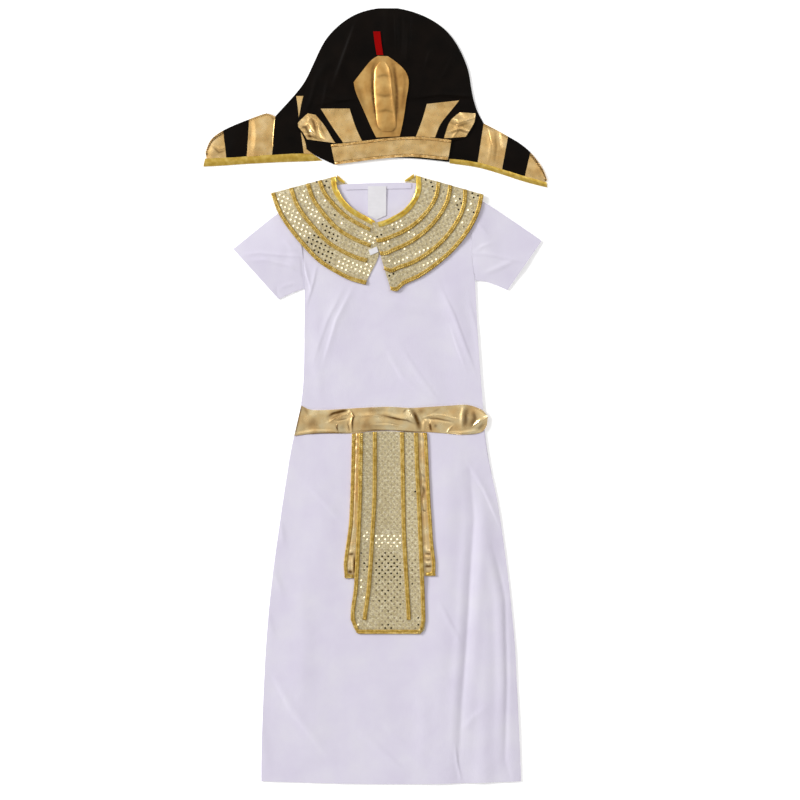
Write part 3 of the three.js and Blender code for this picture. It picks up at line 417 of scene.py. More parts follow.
def crease_heights(points, creases):
    """How far the creases lift each of the points (x, y in metres), in metres."""
    lift = np.zeros(len(points))
    for crease in creases:
        path = np.array([plan(p) for p in crease.path])
        lengths = np.linalg.norm(np.diff(path, axis=0), axis=1)
        before = np.concatenate([[0.0], np.cumsum(lengths)])
        nearest = np.full(len(points), FAR)
        along = np.zeros(len(points))
        across = np.zeros(len(points))
        for i, length in enumerate(lengths):
            step = (path[i + 1] - path[i]) / length
            offset = points - path[i]
            share = np.clip(offset @ step, 0, length)
            away = offset - share[:, None] * step
            distance = np.linalg.norm(away, axis=1)
            closer = distance < nearest
            nearest[closer] = distance[closer]
            along[closer] = (before[i] + share[closer]) / before[-1]
            across[closer] = (step[0] * away[:, 1] - step[1] * away[:, 0])[closer]
        reach = nearest / (crease.width * MM)
        fade = np.sin(math.pi * np.clip(along, 0.03, 0.97)) ** 0.6
        profile = np.exp(-reach ** 2)
        if crease.side:
            profile *= 0.5 + 0.5 * np.tanh(crease.side * 5 * across / (crease.width * MM))
        lift += crease.height * MM * fade * profile
    return lift


def ripples(points, size_mm, height_mm, seed=0):
    """Gentle uneven swells, about size_mm across."""
    scale = 1000 / size_mm
    return np.array([cloud(Vector((x * scale, y * scale, seed))) for x, y in points]) * height_mm * MM


everything_solid = {}
NEARBY = 2 * MM
RAY_START = Vector((0, 0, -0.15 * MM))  # rays start a little under the cloth
UP = Vector((0, 0, 1))


def room_above(node, places, most):
    """How far each place may rise before it meets another solid."""
    if not everything_solid:
        for name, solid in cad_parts.items():
            corners = [v.co for v in solid.data.vertices]
            faces = [list(p.vertices) for p in solid.data.polygons]
            everything_solid[name] = (BVHTree.FromPolygons(corners, faces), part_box(name))
    low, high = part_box(node)
    room = np.full(len(places), most)
    for name, (tree, (other_low, other_high)) in everything_solid.items():
        apart = any(other_low[i] > high[i] + NEARBY or other_high[i] < low[i] - NEARBY for i in (0, 1))
        if name == node or apart or other_high[2] < low[2]:
            continue
        for i, place in enumerate(places):
            if not (other_low[0] < place[0] < other_high[0] and other_low[1] < place[1] < other_high[1]):
                continue
            hit = tree.ray_cast(Vector(place) + RAY_START, UP, most + NEARBY)
            if hit[0] is not None:
                room[i] = min(room[i], max(0.0, hit[0].z - place[2] - 0.12 * MM))
    return room


def finish_piece(shape, name, finish, *nodes, smooth=True):
    """Makes the shape a piece that rides with the frame and stands for its solids."""
    mesh = bpy.data.meshes.new(name)
    shape.to_mesh(mesh)
    shape.free()
    mesh.materials.clear()
    mesh.materials.append(finish)
    if smooth:
        mesh.shade_smooth()
    piece = bpy.data.objects.new(name, mesh)
    bpy.context.collection.objects.link(piece)
    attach(piece, "root")
    if nodes:
        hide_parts(*nodes)
    pieces[name] = piece
    area = sum(face.area for face in mesh.polygons)
    print(name, len(mesh.polygons), "faces,", round(area / 2, 4), "m2 of cloth")
    return piece


def grown(shape, out_mm):
    """Moves the outline out by a fraction of a millimetre, so that cloth meets cloth at a seam."""
    shape.normal_update()
    for vertex in shape.verts:
        sides = [f.normal.xy for f in vertex.link_faces if abs(f.normal.z) < TOP_SIDE]
        if sides:
            outward = sum(sides, Vector((0, 0)))
            if outward.length > 0:
                vertex.co.xy += outward.normalized() * out_mm * MM
    return shape


def dress(node, finish, levels=2, cuts=0, creases=(), swell=(0, 0), worn=(), grow=0.0):
    """A cloth piece on the form of a solid, with its creases and swells (size, height). In the list of
    painted shade strokes, a crease's height is how far painted shade darkens the finish along it, from 0 to
    1."""
    shape = quads_from(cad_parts[node].data)
    if grow:
        grown(shape, grow)
    shape = rounded(shape, node + "_cloth", levels)
    if cuts:
        cut_finer(shape, cuts)
    shape.normal_update()
    painted_shade_layer = shape.verts.layers.float.new("worn")
    top = list({v for face in top_faces(shape) for v in face.verts})
    places = np.array([v.co[:] for v in top])
    # painted shade: strokes that turn the finish brown along creases, stored per point
    if worn:
        for vertex, share in zip(top, crease_heights(places[:, :2], worn) / MM):
            vertex[painted_shade_layer] = min(PAINTED_SHADE_BOOST * share, 1.0)
    if creases or swell[1]:
        lift = crease_heights(places[:, :2], creases)
        if swell[1]:
            lift += ripples(places[:, :2], swell[0], swell[1], len(node))
        lift = np.clip(lift, DEEPEST, HIGHEST)
        lift = np.minimum(lift, room_above(node, places, HIGHEST))
        for vertex, rise in zip(top, lift):
            vertex.co.z += rise
    for edge in shape.edges:
        edge.smooth = len(edge.link_faces) == 2 and edge.calc_face_angle(0) < RIM_ANGLE
    return finish_piece(shape, node + "_cloth", finish, node)


pieces = {}
DEEPEST = -0.6 * MM  # how far a crease may sink or rise from its solid
HIGHEST = 3.0 * MM
SEAM_GROWTH = 0.27  # mm; closes the small gaps that the solids keep at their seams
WING_GROWTH = 0.5  # the wings' sections are further apart
BINDING_GROWTH = 0.8  # and their bindings lap over the cloth above them
PAINTED_SHADE_BOOST = 1.5  # the middle of a painted shade stroke is fully shaded

# %% [markdown]
# Geometry Nodes repeat small shapes along a path or over a surface. A tree is built once with named
# inputs for its sizes. To run it, a host object gets the tree as a modifier, its inputs are set, and the
# result is taken out as a plain mesh.

# %% Helpers for Geometry Nodes


def new_geometry_tree(name, sockets):
    """A Geometry Nodes tree with named inputs, given as (name, kind, value)."""
    tree = bpy.data.node_groups.new(name, "GeometryNodeTree")
    tree.interface.new_socket("Geometry", in_out="INPUT", socket_type="NodeSocketGeometry")
    for socket_name, kind, value in sockets:
        socket = tree.interface.new_socket(socket_name, in_out="INPUT", socket_type="NodeSocket" + kind)
        if value is not None:
            socket.default_value = value
    tree.interface.new_socket("Geometry", in_out="OUTPUT", socket_type="NodeSocketGeometry")
    return tree, tree.nodes.new("NodeGroupInput").outputs


def run_tree(tree, host, values):
    """Runs the tree on the host object with these input values and gives the result as a plain mesh."""
    modifier = host.modifiers.new(tree.name, "NODES")
    modifier.node_group = tree
    for item in tree.interface.items_tree:
        if item.in_out == "INPUT" and item.name in values:
            modifier[item.identifier] = values[item.name]
    mesh = evaluated_mesh(host, tree.name)
    host.modifiers.remove(modifier)
    return mesh


def helper_object(name, mesh):
    """An object for a tree to work on, removed afterwards."""
    host = bpy.data.objects.new(name, mesh)
    bpy.context.collection.objects.link(host)
    return host


# %% [markdown]
# The braids are flat plaits of gold yarn. Each strand runs slanting from the edge to the middle, so a
# plait is two rows of small bulges, one leaning left and one leaning right. A tree puts them along the
# top of the braid's solid. A real plait of this width has a bulge every 2 mm; every 3.4 mm is the finest
# that the picture can show.

# %% Tree for a plaited braid
plait_tree, given = new_geometry_tree("plaited_braid", [
    ("Pitch", "Float", 3.4 * MM), ("Strand Length", "Float", 4.6 * MM),
    ("Strand Width", "Float", 2.6 * MM), ("Strand Height", "Float", 1.3 * MM),
    ("Side Offset", "Float", 1.75 * MM), ("Sink", "Float", -0.45 * MM), ("Slant", "Float", 0.6),
    ("Finish", "Material", None)])
line = add_node(plait_tree, "GeometryNodeMeshToCurve", {"Mesh": given["Geometry"]})
spots = add_node(plait_tree, "GeometryNodeResampleCurve", {
    "Curve": line.outputs[0], "Length": given["Pitch"]}, mode="LENGTH")
tangent = add_node(plait_tree, "GeometryNodeInputTangent").outputs[0]
heading = add_node(plait_tree, "FunctionNodeAlignRotationToVector", {"Vector": tangent},
                   axis="X", pivot_axis="Z")
bulge = add_node(plait_tree, "GeometryNodeMeshUVSphere", {"Segments": 6, "Rings": 4, "Radius": 0.5})
bulge_size = add_node(plait_tree, "ShaderNodeCombineXYZ", {
    "X": given["Strand Length"], "Y": given["Strand Width"], "Z": given["Strand Height"]})
strand = add_node(plait_tree, "GeometryNodeTransform", {
    "Geometry": bulge.outputs["Mesh"], "Scale": bulge_size.outputs[0]})
both_rows = add_node(plait_tree, "GeometryNodeJoinGeometry")
for turn in (1.0, -1.0):
    slant = add_node(plait_tree, "ShaderNodeMath", {0: given["Slant"], 1: -turn}, operation="MULTIPLY")
    lean = add_node(plait_tree, "ShaderNodeCombineXYZ", {"Z": slant.outputs[0]})
    lean_turn = add_node(plait_tree, "FunctionNodeEulerToRotation", {"Euler": lean.outputs[0]})
    leaning = add_node(plait_tree, "GeometryNodeTransform", {
        "Geometry": strand.outputs[0], "Rotation": lean_turn.outputs[0]})
    aside = add_node(plait_tree, "ShaderNodeMath", {0: given["Side Offset"], 1: turn}, operation="MULTIPLY")
    half = add_node(plait_tree, "ShaderNodeMath", {0: given["Pitch"], 1: 0.25 * turn}, operation="MULTIPLY")
    place = add_node(plait_tree, "ShaderNodeCombineXYZ", {
        "X": half.outputs[0], "Y": aside.outputs[0], "Z": given["Sink"]})
    beside = add_node(plait_tree, "GeometryNodeTransform", {
        "Geometry": leaning.outputs[0], "Translation": place.outputs[0]})
    row = add_node(plait_tree, "GeometryNodeInstanceOnPoints", {
        "Points": spots.outputs[0], "Instance": beside.outputs[0], "Rotation": heading.outputs[0]})
    plait_tree.links.new(row.outputs[0], both_rows.inputs[0])
real = add_node(plait_tree, "GeometryNodeRealizeInstances", {"Geometry": both_rows.outputs[0]})
coated = add_node(plait_tree, "GeometryNodeSetMaterial", {
    "Geometry": real.outputs[0], "Material": given["Finish"]})
add_node(plait_tree, "NodeGroupOutput", {"Geometry": coated.outputs[0]})
print("plait tree nodes:", len(plait_tree.nodes))

# %% Dress a braid's solid


def crown_path(node):
    """The points along the top of a braid's solid, ending a strand's reach short of both its ends."""
    shape = bmesh.new()
    shape.from_mesh(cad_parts[node].data)
    bmesh.ops.remove_doubles(shape, verts=shape.verts, dist=MERGE)
    shape.normal_update()
    crown = {v for v in shape.verts if all(f.normal.z > 0.3 for f in v.link_faces)}

    def beside(vertex):
        return [e.other_vert(vertex) for e in vertex.link_edges if e.other_vert(vertex) in crown]

    # The solid's own order of points says which end comes first, so that every run starts at the same one
    path = [next(v for v in shape.verts if v in crown and len(beside(v)) == 1)]
    while True:
        onward = [v for v in beside(path[-1]) if v not in path]
        if not onward:
            break
        path.append(onward[0])
    points = [v.co.copy() for v in path]
    for end, before in ((path[0], path[1]), (path[-1], path[-2])):
        outward = (end.co - before.co).normalized()
        beyond = [e.other_vert(end).co for e in end.link_edges
                  if (e.other_vert(end).co - end.co).normalized().dot(outward) > 0.6]
        if beyond:
            points.insert(0 if end is path[0] else len(points), max(beyond, key=lambda co: co.z).copy())
    for end, before in ((0, 1), (-1, -2)):
        inward = points[before] - points[end]
        points[end] += inward.normalized() * min(END_ROOM, inward.length * 0.8)
    shape.free()
    return points


END_ROOM = 2.3 * MM
WIDEST_BRAID = 7  # mm


def strands_along(points, sizes):
    """Two rows of slanting strands along a line of points, as a plain mesh."""
    line_mesh = bpy.data.meshes.new("plait_line")
    line_mesh.from_pydata(points, [(i, i + 1) for i in range(len(points) - 1)], [])
    host = helper_object("plait_line", line_mesh)
    strands = run_tree(plait_tree, host, {"Finish": gold_yarn, **sizes})
    bpy.data.objects.remove(host)
    return strands


def dress_braid(node, width_mm, finish=gold_yarn):
    """A plaited braid on the form of its solid: the flat ground, and the two rows of strands on it."""
    share = width_mm / WIDEST_BRAID
    strands = strands_along(crown_path(node), {
        "Pitch": 3.4 * MM * share ** 0.5, "Strand Length": 4.4 * MM * share,
        "Strand Width": 2.3 * MM * share ** 0.5, "Side Offset": 1.7 * MM * share, "Slant": 0.85})
    shape = rounded(quads_from(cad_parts[node].data), node + "_cloth", 1)
    shape.from_mesh(strands)
    return finish_piece(shape, node + "_cloth", finish, node)


def overlock(name, points, finish):
    """A zigzag of stitches along a line of points, as along the wings' edges."""
    strands = strands_along(points, {
        "Pitch": 3.6 * MM, "Strand Length": 3.0 * MM, "Strand Width": 1.1 * MM, "Strand Height": 0.8 * MM,
        "Side Offset": 0.9 * MM, "Sink": 0.05 * MM, "Slant": 0.95})
    shape = bmesh.new()
    shape.from_mesh(strands)
    return finish_piece(shape, name, finish)


# %% [markdown]
# The sequins stand in staggered rows, about 10 mm apart along a row and 6 mm from row to row. A tree
# makes that grid of two sets of rows, turns it to the run of the cloth, drops each place on the cloth
# with a ray, leaves out those that the braids cover, and sets a small disc there. The cloth buckles a
# little, so each patch of sequins mirrors something else: some flash the lamp, some show the dark patch
# overhead, and the rest show the pale room.

# %% Tree for rows of sequins
sequin_tree, given = new_geometry_tree("sequin_rows", [
    ("Ground", "Object", None), ("Keep Off", "Object", None), ("Columns", "Int", 10),
    ("Row Pairs", "Int", 10), ("Width", "Float", 0.3), ("Length", "Float", 0.3),
    ("Next Row", "Vector", None), ("Turn", "Float", 0.0), ("Centre", "Vector", None),
    ("Diameter", "Float", 3.4 * MM), ("Thickness", "Float", 0.3 * MM), ("Lift", "Float", 0.25 * MM),
    ("Clearance", "Float", 1.7 * MM), ("Unevenness", "Float", 0.03), ("Seed", "Int", 5),
    ("Finish", "Material", None)])
grid = add_node(sequin_tree, "GeometryNodeMeshGrid", {
    "Size X": given["Width"], "Size Y": given["Length"], "Vertices X": given["Columns"],
    "Vertices Y": given["Row Pairs"]})
between = add_node(sequin_tree, "GeometryNodeTransform", {
    "Geometry": grid.outputs["Mesh"], "Translation": given["Next Row"]})
rows = add_node(sequin_tree, "GeometryNodeJoinGeometry")
for half in (grid, between):
    sequin_tree.links.new(half.outputs[0], rows.inputs[0])
turn_axis = add_node(sequin_tree, "ShaderNodeCombineXYZ", {"Z": given["Turn"]})
grid_turn = add_node(sequin_tree, "FunctionNodeEulerToRotation", {"Euler": turn_axis.outputs[0]})
laid_grid = add_node(sequin_tree, "GeometryNodeTransform", {
    "Geometry": rows.outputs[0], "Translation": given["Centre"], "Rotation": grid_turn.outputs[0]})
ground = add_node(sequin_tree, "GeometryNodeObjectInfo", {"Object": given["Ground"]}).outputs["Geometry"]
trims = add_node(sequin_tree, "GeometryNodeObjectInfo", {"Object": given["Keep Off"]}).outputs["Geometry"]
aim_there = add_node(sequin_tree, "GeometryNodeInputNamedAttribute", {"Name": "aim"},
                     data_type="FLOAT_VECTOR")
drop = add_node(sequin_tree, "GeometryNodeRaycast", {
    "Target Geometry": ground, "Ray Direction": (0.0, 0.0, -1.0), "Ray Length": 1.0},
    data_type="FLOAT_VECTOR")
sequin_tree.links.new(aim_there.outputs[0], drop.inputs["Attribute"])
away = add_node(sequin_tree, "GeometryNodeProximity", {
    "Geometry": trims, "Sample Position": drop.outputs["Hit Position"]})
clear = add_node(sequin_tree, "FunctionNodeCompare", {
    0: away.outputs["Distance"], 1: given["Clearance"]}, operation="GREATER_THAN")
stays = add_node(sequin_tree, "FunctionNodeBooleanMath", {
    0: drop.outputs["Is Hit"], 1: clear.outputs[0]}, operation="AND")
chance = add_node(sequin_tree, "FunctionNodeRandomValue", {
    0: (-1.0, -1.0, 0.0), 1: (1.0, 1.0, 0.0), "Seed": given["Seed"]}, data_type="FLOAT_VECTOR")
uneven = add_node(sequin_tree, "ShaderNodeVectorMath", {
    0: chance.outputs[0], "Scale": given["Unevenness"]}, operation="SCALE")
facing = add_node(sequin_tree, "ShaderNodeVectorMath", {
    0: drop.outputs["Attribute"], 1: uneven.outputs[0]}, operation="ADD")
marked = add_node(sequin_tree, "GeometryNodeStoreNamedAttribute", {
    "Geometry": laid_grid.outputs[0], "Name": "stays", "Value": stays.outputs[0]}, data_type="BOOLEAN")
aimed = add_node(sequin_tree, "GeometryNodeStoreNamedAttribute", {
    "Geometry": marked.outputs[0], "Name": "facing"}, data_type="FLOAT_VECTOR")
sequin_tree.links.new(facing.outputs[0], aimed.inputs["Value"])
rise = add_node(sequin_tree, "ShaderNodeCombineXYZ", {"Z": given["Lift"]}).outputs[0]
seat = add_node(sequin_tree, "ShaderNodeVectorMath", {
    0: drop.outputs["Hit Position"], 1: rise}, operation="ADD")
seated = add_node(sequin_tree, "GeometryNodeSetPosition", {
    "Geometry": aimed.outputs[0], "Position": seat.outputs[0]})
radius = add_node(sequin_tree, "ShaderNodeMath", {0: given["Diameter"], 1: 0.5}, operation="MULTIPLY")
disc = add_node(sequin_tree, "GeometryNodeMeshCylinder", {
    "Vertices": 10, "Radius": radius.outputs[0], "Depth": given["Thickness"]}, fill_type="TRIANGLE_FAN")
stays_mark = add_node(sequin_tree, "GeometryNodeInputNamedAttribute", {"Name": "stays"},
                      data_type="BOOLEAN")
facing_mark = add_node(sequin_tree, "GeometryNodeInputNamedAttribute", {"Name": "facing"},
                       data_type="FLOAT_VECTOR")
turned = add_node(sequin_tree, "FunctionNodeAlignRotationToVector", {"Vector": facing_mark.outputs[0]},
                  axis="Z")
sequins = add_node(sequin_tree, "GeometryNodeInstanceOnPoints", {
    "Points": seated.outputs[0], "Selection": stays_mark.outputs[0], "Instance": disc.outputs["Mesh"],
    "Rotation": turned.outputs[0]})
real = add_node(sequin_tree, "GeometryNodeRealizeInstances", {"Geometry": sequins.outputs[0]})
coated = add_node(sequin_tree, "GeometryNodeSetMaterial", {
    "Geometry": real.outputs[0], "Material": given["Finish"]})
add_node(sequin_tree, "NodeGroupOutput", {"Geometry": coated.outputs[0]})
print("sequin tree nodes:", len(sequin_tree.nodes))

# %% What the patches of sequins mirror
Patch = namedtuple("Patch", "mirrors reach path")
CAMERA_PLACE = np.array([CAMERA_OVER[0], CAMERA_OVER[1], CAMERA_HEIGHT])
DIRECTIONS = {"overhead": (0.0, 0.0, 1.0), "shade": (0.1, -0.12, 0.985), "room": (0.27, 0.2, 0.935)}
PATCHES = [
    # the collar's left half
    Patch("lamp", 11, [(284, 203), (290, 216), (301, 232)]),
    Patch("lamp", 7.5, [(306, 196), (313, 206), (321, 216)]),
    Patch("lamp", 7, [(341, 263), (355, 265), (369, 270)]),
    Patch("lamp", 4.5, [(364, 234), (371, 241)]),
    Patch("lamp", 3, [(320, 193), (329, 205)]),
    Patch("lamp", 3, [(340, 225), (342, 225)]),
    Patch("overhead", 6.5, [(328, 225), (333, 237)]),
    Patch("overhead", 8, [(315, 241), (327, 256)]),
    Patch("overhead", 3, [(335, 212), (335, 217)]),
    Patch("overhead", 4, [(306, 181), (328, 184)]),
    # the collar's right half
    Patch("lamp", 4.5, [(387, 226), (400, 224)]),
    Patch("lamp", 3.5, [(408, 233), (414, 235)]),
    Patch("lamp", 3, [(384, 243), (389, 243)]),
    Patch("lamp", 3, [(401, 248), (405, 248)]),
    Patch("lamp", 3, [(389, 261), (398, 263), (415, 257), (430, 247)]),
    Patch("lamp", 3, [(399, 268), (415, 264), (428, 266), (440, 258)]),
    Patch("lamp", 3.5, [(452, 196), (456, 199)]),
    Patch("lamp", 5, [(466, 204), (472, 209)]),
    Patch("lamp", 2.5, [(444, 209), (448, 217)]),
    Patch("lamp", 2.5, [(456, 222), (462, 221)]),
    Patch("overhead", 3, [(428, 180), (433, 181), (434, 190)]),
    Patch("overhead", 3, [(446, 193), (454, 188)]),
    Patch("overhead", 3, [(457, 210), (460, 202)]),
    Patch("overhead", 3, [(471, 195), (479, 195)]),
    Patch("overhead", 3, [(477, 205), (474, 214)]),
    Patch("overhead", 2.5, [(417, 201), (417, 203)]),
    Patch("overhead", 2.5, [(465, 229), (467, 230)]),
    Patch("overhead", 3, [(381, 234), (378, 238)]),
    Patch("overhead", 3, [(390, 272), (391, 276)]),
    # the apron
    Patch("lamp", 8, [(380, 539), (397, 541)]),
    Patch("lamp", 3.5, [(365, 532), (367, 541)]),
    Patch("lamp", 2.5, [(361, 577), (361, 586)]),
    Patch("lamp", 2.5, [(363, 594), (365, 597)]),
    Patch("lamp", 3, [(356, 623), (358, 625)]),
    Patch("lamp", 2.5, [(417, 575), (424, 575)]),
    Patch("lamp", 2.5, [(408, 563), (416, 557)]),
    Patch("overhead", 14, [(388, 566), (388, 580)]),
    Patch("shade", 14, [(388, 590), (388, 600)]),
    Patch("overhead", 2.5, [(414.6, 437), (415.5, 492)]),
    Patch("shade", 3.5, [(412, 560), (415, 583)]),
    Patch("shade", 3.5, [(364, 553), (366, 568)]),
    Patch("overhead", 3, [(381, 625), (392, 629)]),
    Patch("shade", 4, [(387, 617), (400, 620)]),
    Patch("overhead", 3, [(355, 612), (355, 620)]),
    Patch("shade", 3, [(418, 620), (416, 630)]),
]


def toward(targets):
    """The same vectors, each one unit long."""
    return targets / np.linalg.norm(targets, axis=1, keepdims=True)


def sequin_aims(points, seed):
    """The way that a sequin at each point faces, so that the camera sees in it what its patch mirrors."""
    targets = np.tile(np.array(DIRECTIONS["room"]), (len(points), 1))
    for patch in PATCHES:
        path = np.array([plan(p) for p in patch.path])
        nearest = np.full(len(points), FAR)
        for start, end in zip(path[:-1], path[1:]):
            step = end - start
            share = np.clip((points[:, :2] - start) @ step / (step @ step), 0, 1)
            beside = points[:, :2] - start - share[:, None] * step
            nearest = np.minimum(nearest, np.linalg.norm(beside, axis=1))
        inside = nearest < patch.reach * PIXEL
        if patch.mirrors == "lamp":
            targets[inside] = toward(np.array(FLASH_LAMP) - points[inside])
        else:
            targets[inside] = DIRECTIONS[patch.mirrors]
    buckle = np.random.default_rng(seed).normal(0, 0.02, targets.shape)
    return toward(toward(targets) + toward(CAMERA_PLACE - points)) + buckle


SEQUIN_SPACING = 10.2 * MM
SEQUIN_ROW_PITCH = 5.8 * MM


def add_sequins(node, trims, turn, seed):
    """Rows of sequins on a dressed panel, turned to the run of its cloth and clear of its trims."""
    ground_mesh = pieces[node + "_cloth"].data.copy()
    points = np.array([v.co[:] for v in ground_mesh.vertices])
    attribute = ground_mesh.attributes.new("aim", "FLOAT_VECTOR", "POINT")
    attribute.data.foreach_set("vector", sequin_aims(points, seed).ravel())
    ground_object = helper_object("sequin_ground", ground_mesh)
    trim_shape = bmesh.new()
    for trim in trims:
        trim_shape.from_mesh(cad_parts[trim].data)
    trim_mesh = bpy.data.meshes.new("sequin_trims")
    trim_shape.to_mesh(trim_mesh)
    trim_shape.free()
    trim_object = helper_object("sequin_trims", trim_mesh)
    host = helper_object("sequin_host", bpy.data.meshes.new("sequin_host"))
    low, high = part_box(node)
    across, along = high[0] - low[0], high[1] - low[1]
    columns = int((across * math.cos(turn) + along * abs(math.sin(turn))) / SEQUIN_SPACING) + 3
    row_pairs = int((along * math.cos(turn) + across * abs(math.sin(turn))) / SEQUIN_ROW_PITCH / 2) + 3
    mesh = run_tree(sequin_tree, host, {
        "Ground": ground_object, "Keep Off": trim_object, "Columns": columns, "Row Pairs": row_pairs,
        "Width": (columns - 1) * SEQUIN_SPACING, "Length": (row_pairs - 1) * SEQUIN_ROW_PITCH * 2,
        "Next Row": (SEQUIN_SPACING / 2, SEQUIN_ROW_PITCH, 0.0), "Turn": turn,
        "Centre": ((low[0] + high[0]) / 2, (low[1] + high[1]) / 2, 0.1), "Seed": seed, "Finish": sequin_foil})
    for helper in (host, ground_object, trim_object):
        bpy.data.objects.remove(helper)
    shape = bmesh.new()
    shape.from_mesh(mesh)
    return finish_piece(shape, node + "_sequins", sequin_foil, smooth=False)


# %% [markdown]
# The robe's front carries the folds that show most. Two long troughs run down its right side with a
# pillow between them, short creases fan out under the arms and at the waist, and the hem has a few kinks.
# The back lies under it and shows at the neck, and it has soft creases of its own, as a robe that is laid
# down has.

# %% Robe
ROBE_CREASES = [
    Crease([(463, 470), (467, 520), (464, 560), (462, 600), (459, 650), (455, 700), (451, 776)], 9, 1.5),
    Crease([(478, 470), (482, 520), (480, 560), (477, 600), (474, 650), (470, 700), (466, 776)], 11, 1.7),
    Crease([(470, 470), (474, 520), (471, 560), (469, 600), (466, 650), (462, 700), (458, 775)], 4, -0.8),
    Crease([(487, 540), (494, 575), (499, 600), (501, 680), (499, 760), (503, 780)], 9, 1.7),
    Crease([(492, 545), (500, 575), (505, 600), (507, 680), (505, 760), (510, 778)], 4, -1.0),
    Crease([(467, 463), (483, 490), (500, 528)], 7, 1.2, 1),
    Crease([(440, 600), (450, 620), (462, 642)], 7, 0.9, -1),
    Crease([(412, 662), (436, 676), (460, 692)], 8, 0.9, 1),
    Crease([(460, 730), (472, 716), (487, 704)], 7, 0.9, -1),
    Crease([(270, 672), (290, 710), (325, 755)], 11, 1.3, 1),
    Crease([(255, 700), (262, 740), (268, 770)], 9, 0.9),
    Crease([(358, 726), (380, 746), (404, 768)], 8, 1.0, -1),
    Crease([(384, 724), (392, 731), (402, 737)], 5, 0.7),
    Crease([(303, 482), (322, 502), (342, 524)], 9, 0.9, 1),
    Crease([(280, 522), (282, 532), (284, 544)], 5, 0.9),
    Crease([(272, 568), (276, 578), (283, 594)], 5, 0.9),
    Crease([(267, 612), (269, 622), (274, 634)], 5, 0.8),
    Crease([(456, 745), (458, 762), (462, 780)], 4, 1.2, -1),
    Crease([(300, 560), (305, 640), (300, 720)], 16, 0.9),
    Crease([(420, 690), (424, 730), (420, 775)], 13, 0.8),
    Crease([(520, 560), (524, 640), (523, 740)], 8, 0.9),
    # the bodice, between the collar and the belt
    Crease([(352, 286), (335, 320), (322, 364)], 7, 1.1, 1),
    Crease([(344, 290), (328, 322), (315, 360)], 7, 0.8, -1),
    Crease([(317, 298), (316, 350), (320, 402)], 10, 0.7),
    Crease([(442, 288), (455, 315), (476, 372)], 7, 1.1, -1),
    Crease([(450, 328), (456, 346), (464, 367)], 5, 0.7, 1),
    Crease([(384, 348), (402, 380), (432, 403)], 8, 0.9, 1),
    Crease([(400, 343), (420, 374), (442, 404)], 7, 0.8, -1),
    Crease([(374, 299), (405, 305), (442, 316)], 8, 0.7),
    Crease([(470, 300), (478, 330), (482, 372)], 8, 0.8, -1),
    Crease([(302, 256), (306, 274), (311, 292)], 4, 1.0, 1),
    Crease([(318, 265), (314, 284), (308, 304)], 5, 1.0, -1),
    Crease([(490, 262), (484, 282), (480, 300)], 5, 0.9, 1),
]
SLEEVE_CREASES = [
    Crease([(244, 256), (259, 254), (277, 256), (302, 258)], 3.5, 1.3, 1),
    Crease([(248, 260), (265, 259), (290, 265), (301, 274)], 4, 1.2, -1),
    Crease([(302, 256), (303, 270), (306, 282), (305, 292)], 3, -0.9),
    Crease([(280, 290), (288, 286), (294, 284.5), (302, 287)], 4, 0.7, 1),
    Crease([(277, 286), (277, 293), (280, 297)], 3, -0.4),
    Crease([(284, 240), (292, 248), (300, 250)], 4, 0.7),
    Crease([(475, 223), (481, 229), (488, 236)], 4, 0.9, 1),
    Crease([(475, 250), (483, 245), (492, 242)], 4, 0.9, -1),
    Crease([(468, 254), (490, 256), (522, 263)], 4.5, 1.2, 1),
    Crease([(484, 274), (498, 268), (514, 261)], 4, 0.9),
]
BACK_CREASES = [
    Crease([(330, 250), (345, 330), (338, 400)], 14, -0.3),
    Crease([(420, 260), (412, 340), (424, 410)], 14, -0.3),
]
dress("robe_back", robe_cloth, 2, 0, BACK_CREASES, (60, 0.3))
dress("robe_front", robe_cloth, 2, 2, ROBE_CREASES, (70, 0.5))
dress("sleeve_left", robe_cloth, 3, 0, SLEEVE_CREASES, (45, 0.35), grow=SEAM_GROWTH)
dress("sleeve_right", robe_cloth, 3, 0, SLEEVE_CREASES, (45, 0.35), grow=SEAM_GROWTH)
dress("neck_tape", robe_cloth, 2)
dress("care_label", label_ribbon, 3, 0, (), (20, 0.15))
dress("size_tag", label_ribbon, 3)

# %% [markdown]
# The collar's two halves lap at the centre front. Each is glitter knit with three inner braids and an
# edge braid sewn on, and its neck is bound with satin ribbon that turns over to the back.

# %% Collar
BINDING_CREASES = [
    Crease([(335, 178), (338, 191), (343, 200), (350, 207), (361, 214.5), (374, 224)], 1.7, 1.1),
    Crease([(418, 178), (417, 192), (413, 201), (405, 210), (395, 217), (382, 225)], 1.7, 1.1),
]
for side in ("left", "right"):
    dress(f"collar_{side}", glitter_knit, 2, 0, (), (40, 0.2))
    dress(f"collar_{side}_binding", neck_satin, 3, 0, BINDING_CREASES, (9, 0.3))
    dress(f"collar_{side}_turn", neck_satin, 3)
    for braid in ("braid_1", "braid_2", "braid_3", "braid_edge"):
        dress_braid(f"collar_{side}_{braid}", 7)
dress("collar_back", glitter_knit, 2)
for side, other in (("left", "right"), ("right", "left")):
    trims = [f"collar_{side}_{trim}" for trim in ("binding", "braid_1", "braid_2", "braid_3", "braid_edge")]
    if side == "left":
        trims += ["collar_right", "size_tag"]
    add_sequins(f"collar_{side}", trims, 0.42 if side == "left" else -0.42, 11 if side == "left" else 12)

# %% [markdown]
# The belt is a folded band of lame. It was tied round the robe and has kept its folds: a sharp one beside
# the apron's left edge, long soft ones along its middle, and crushed wedges where it turns.

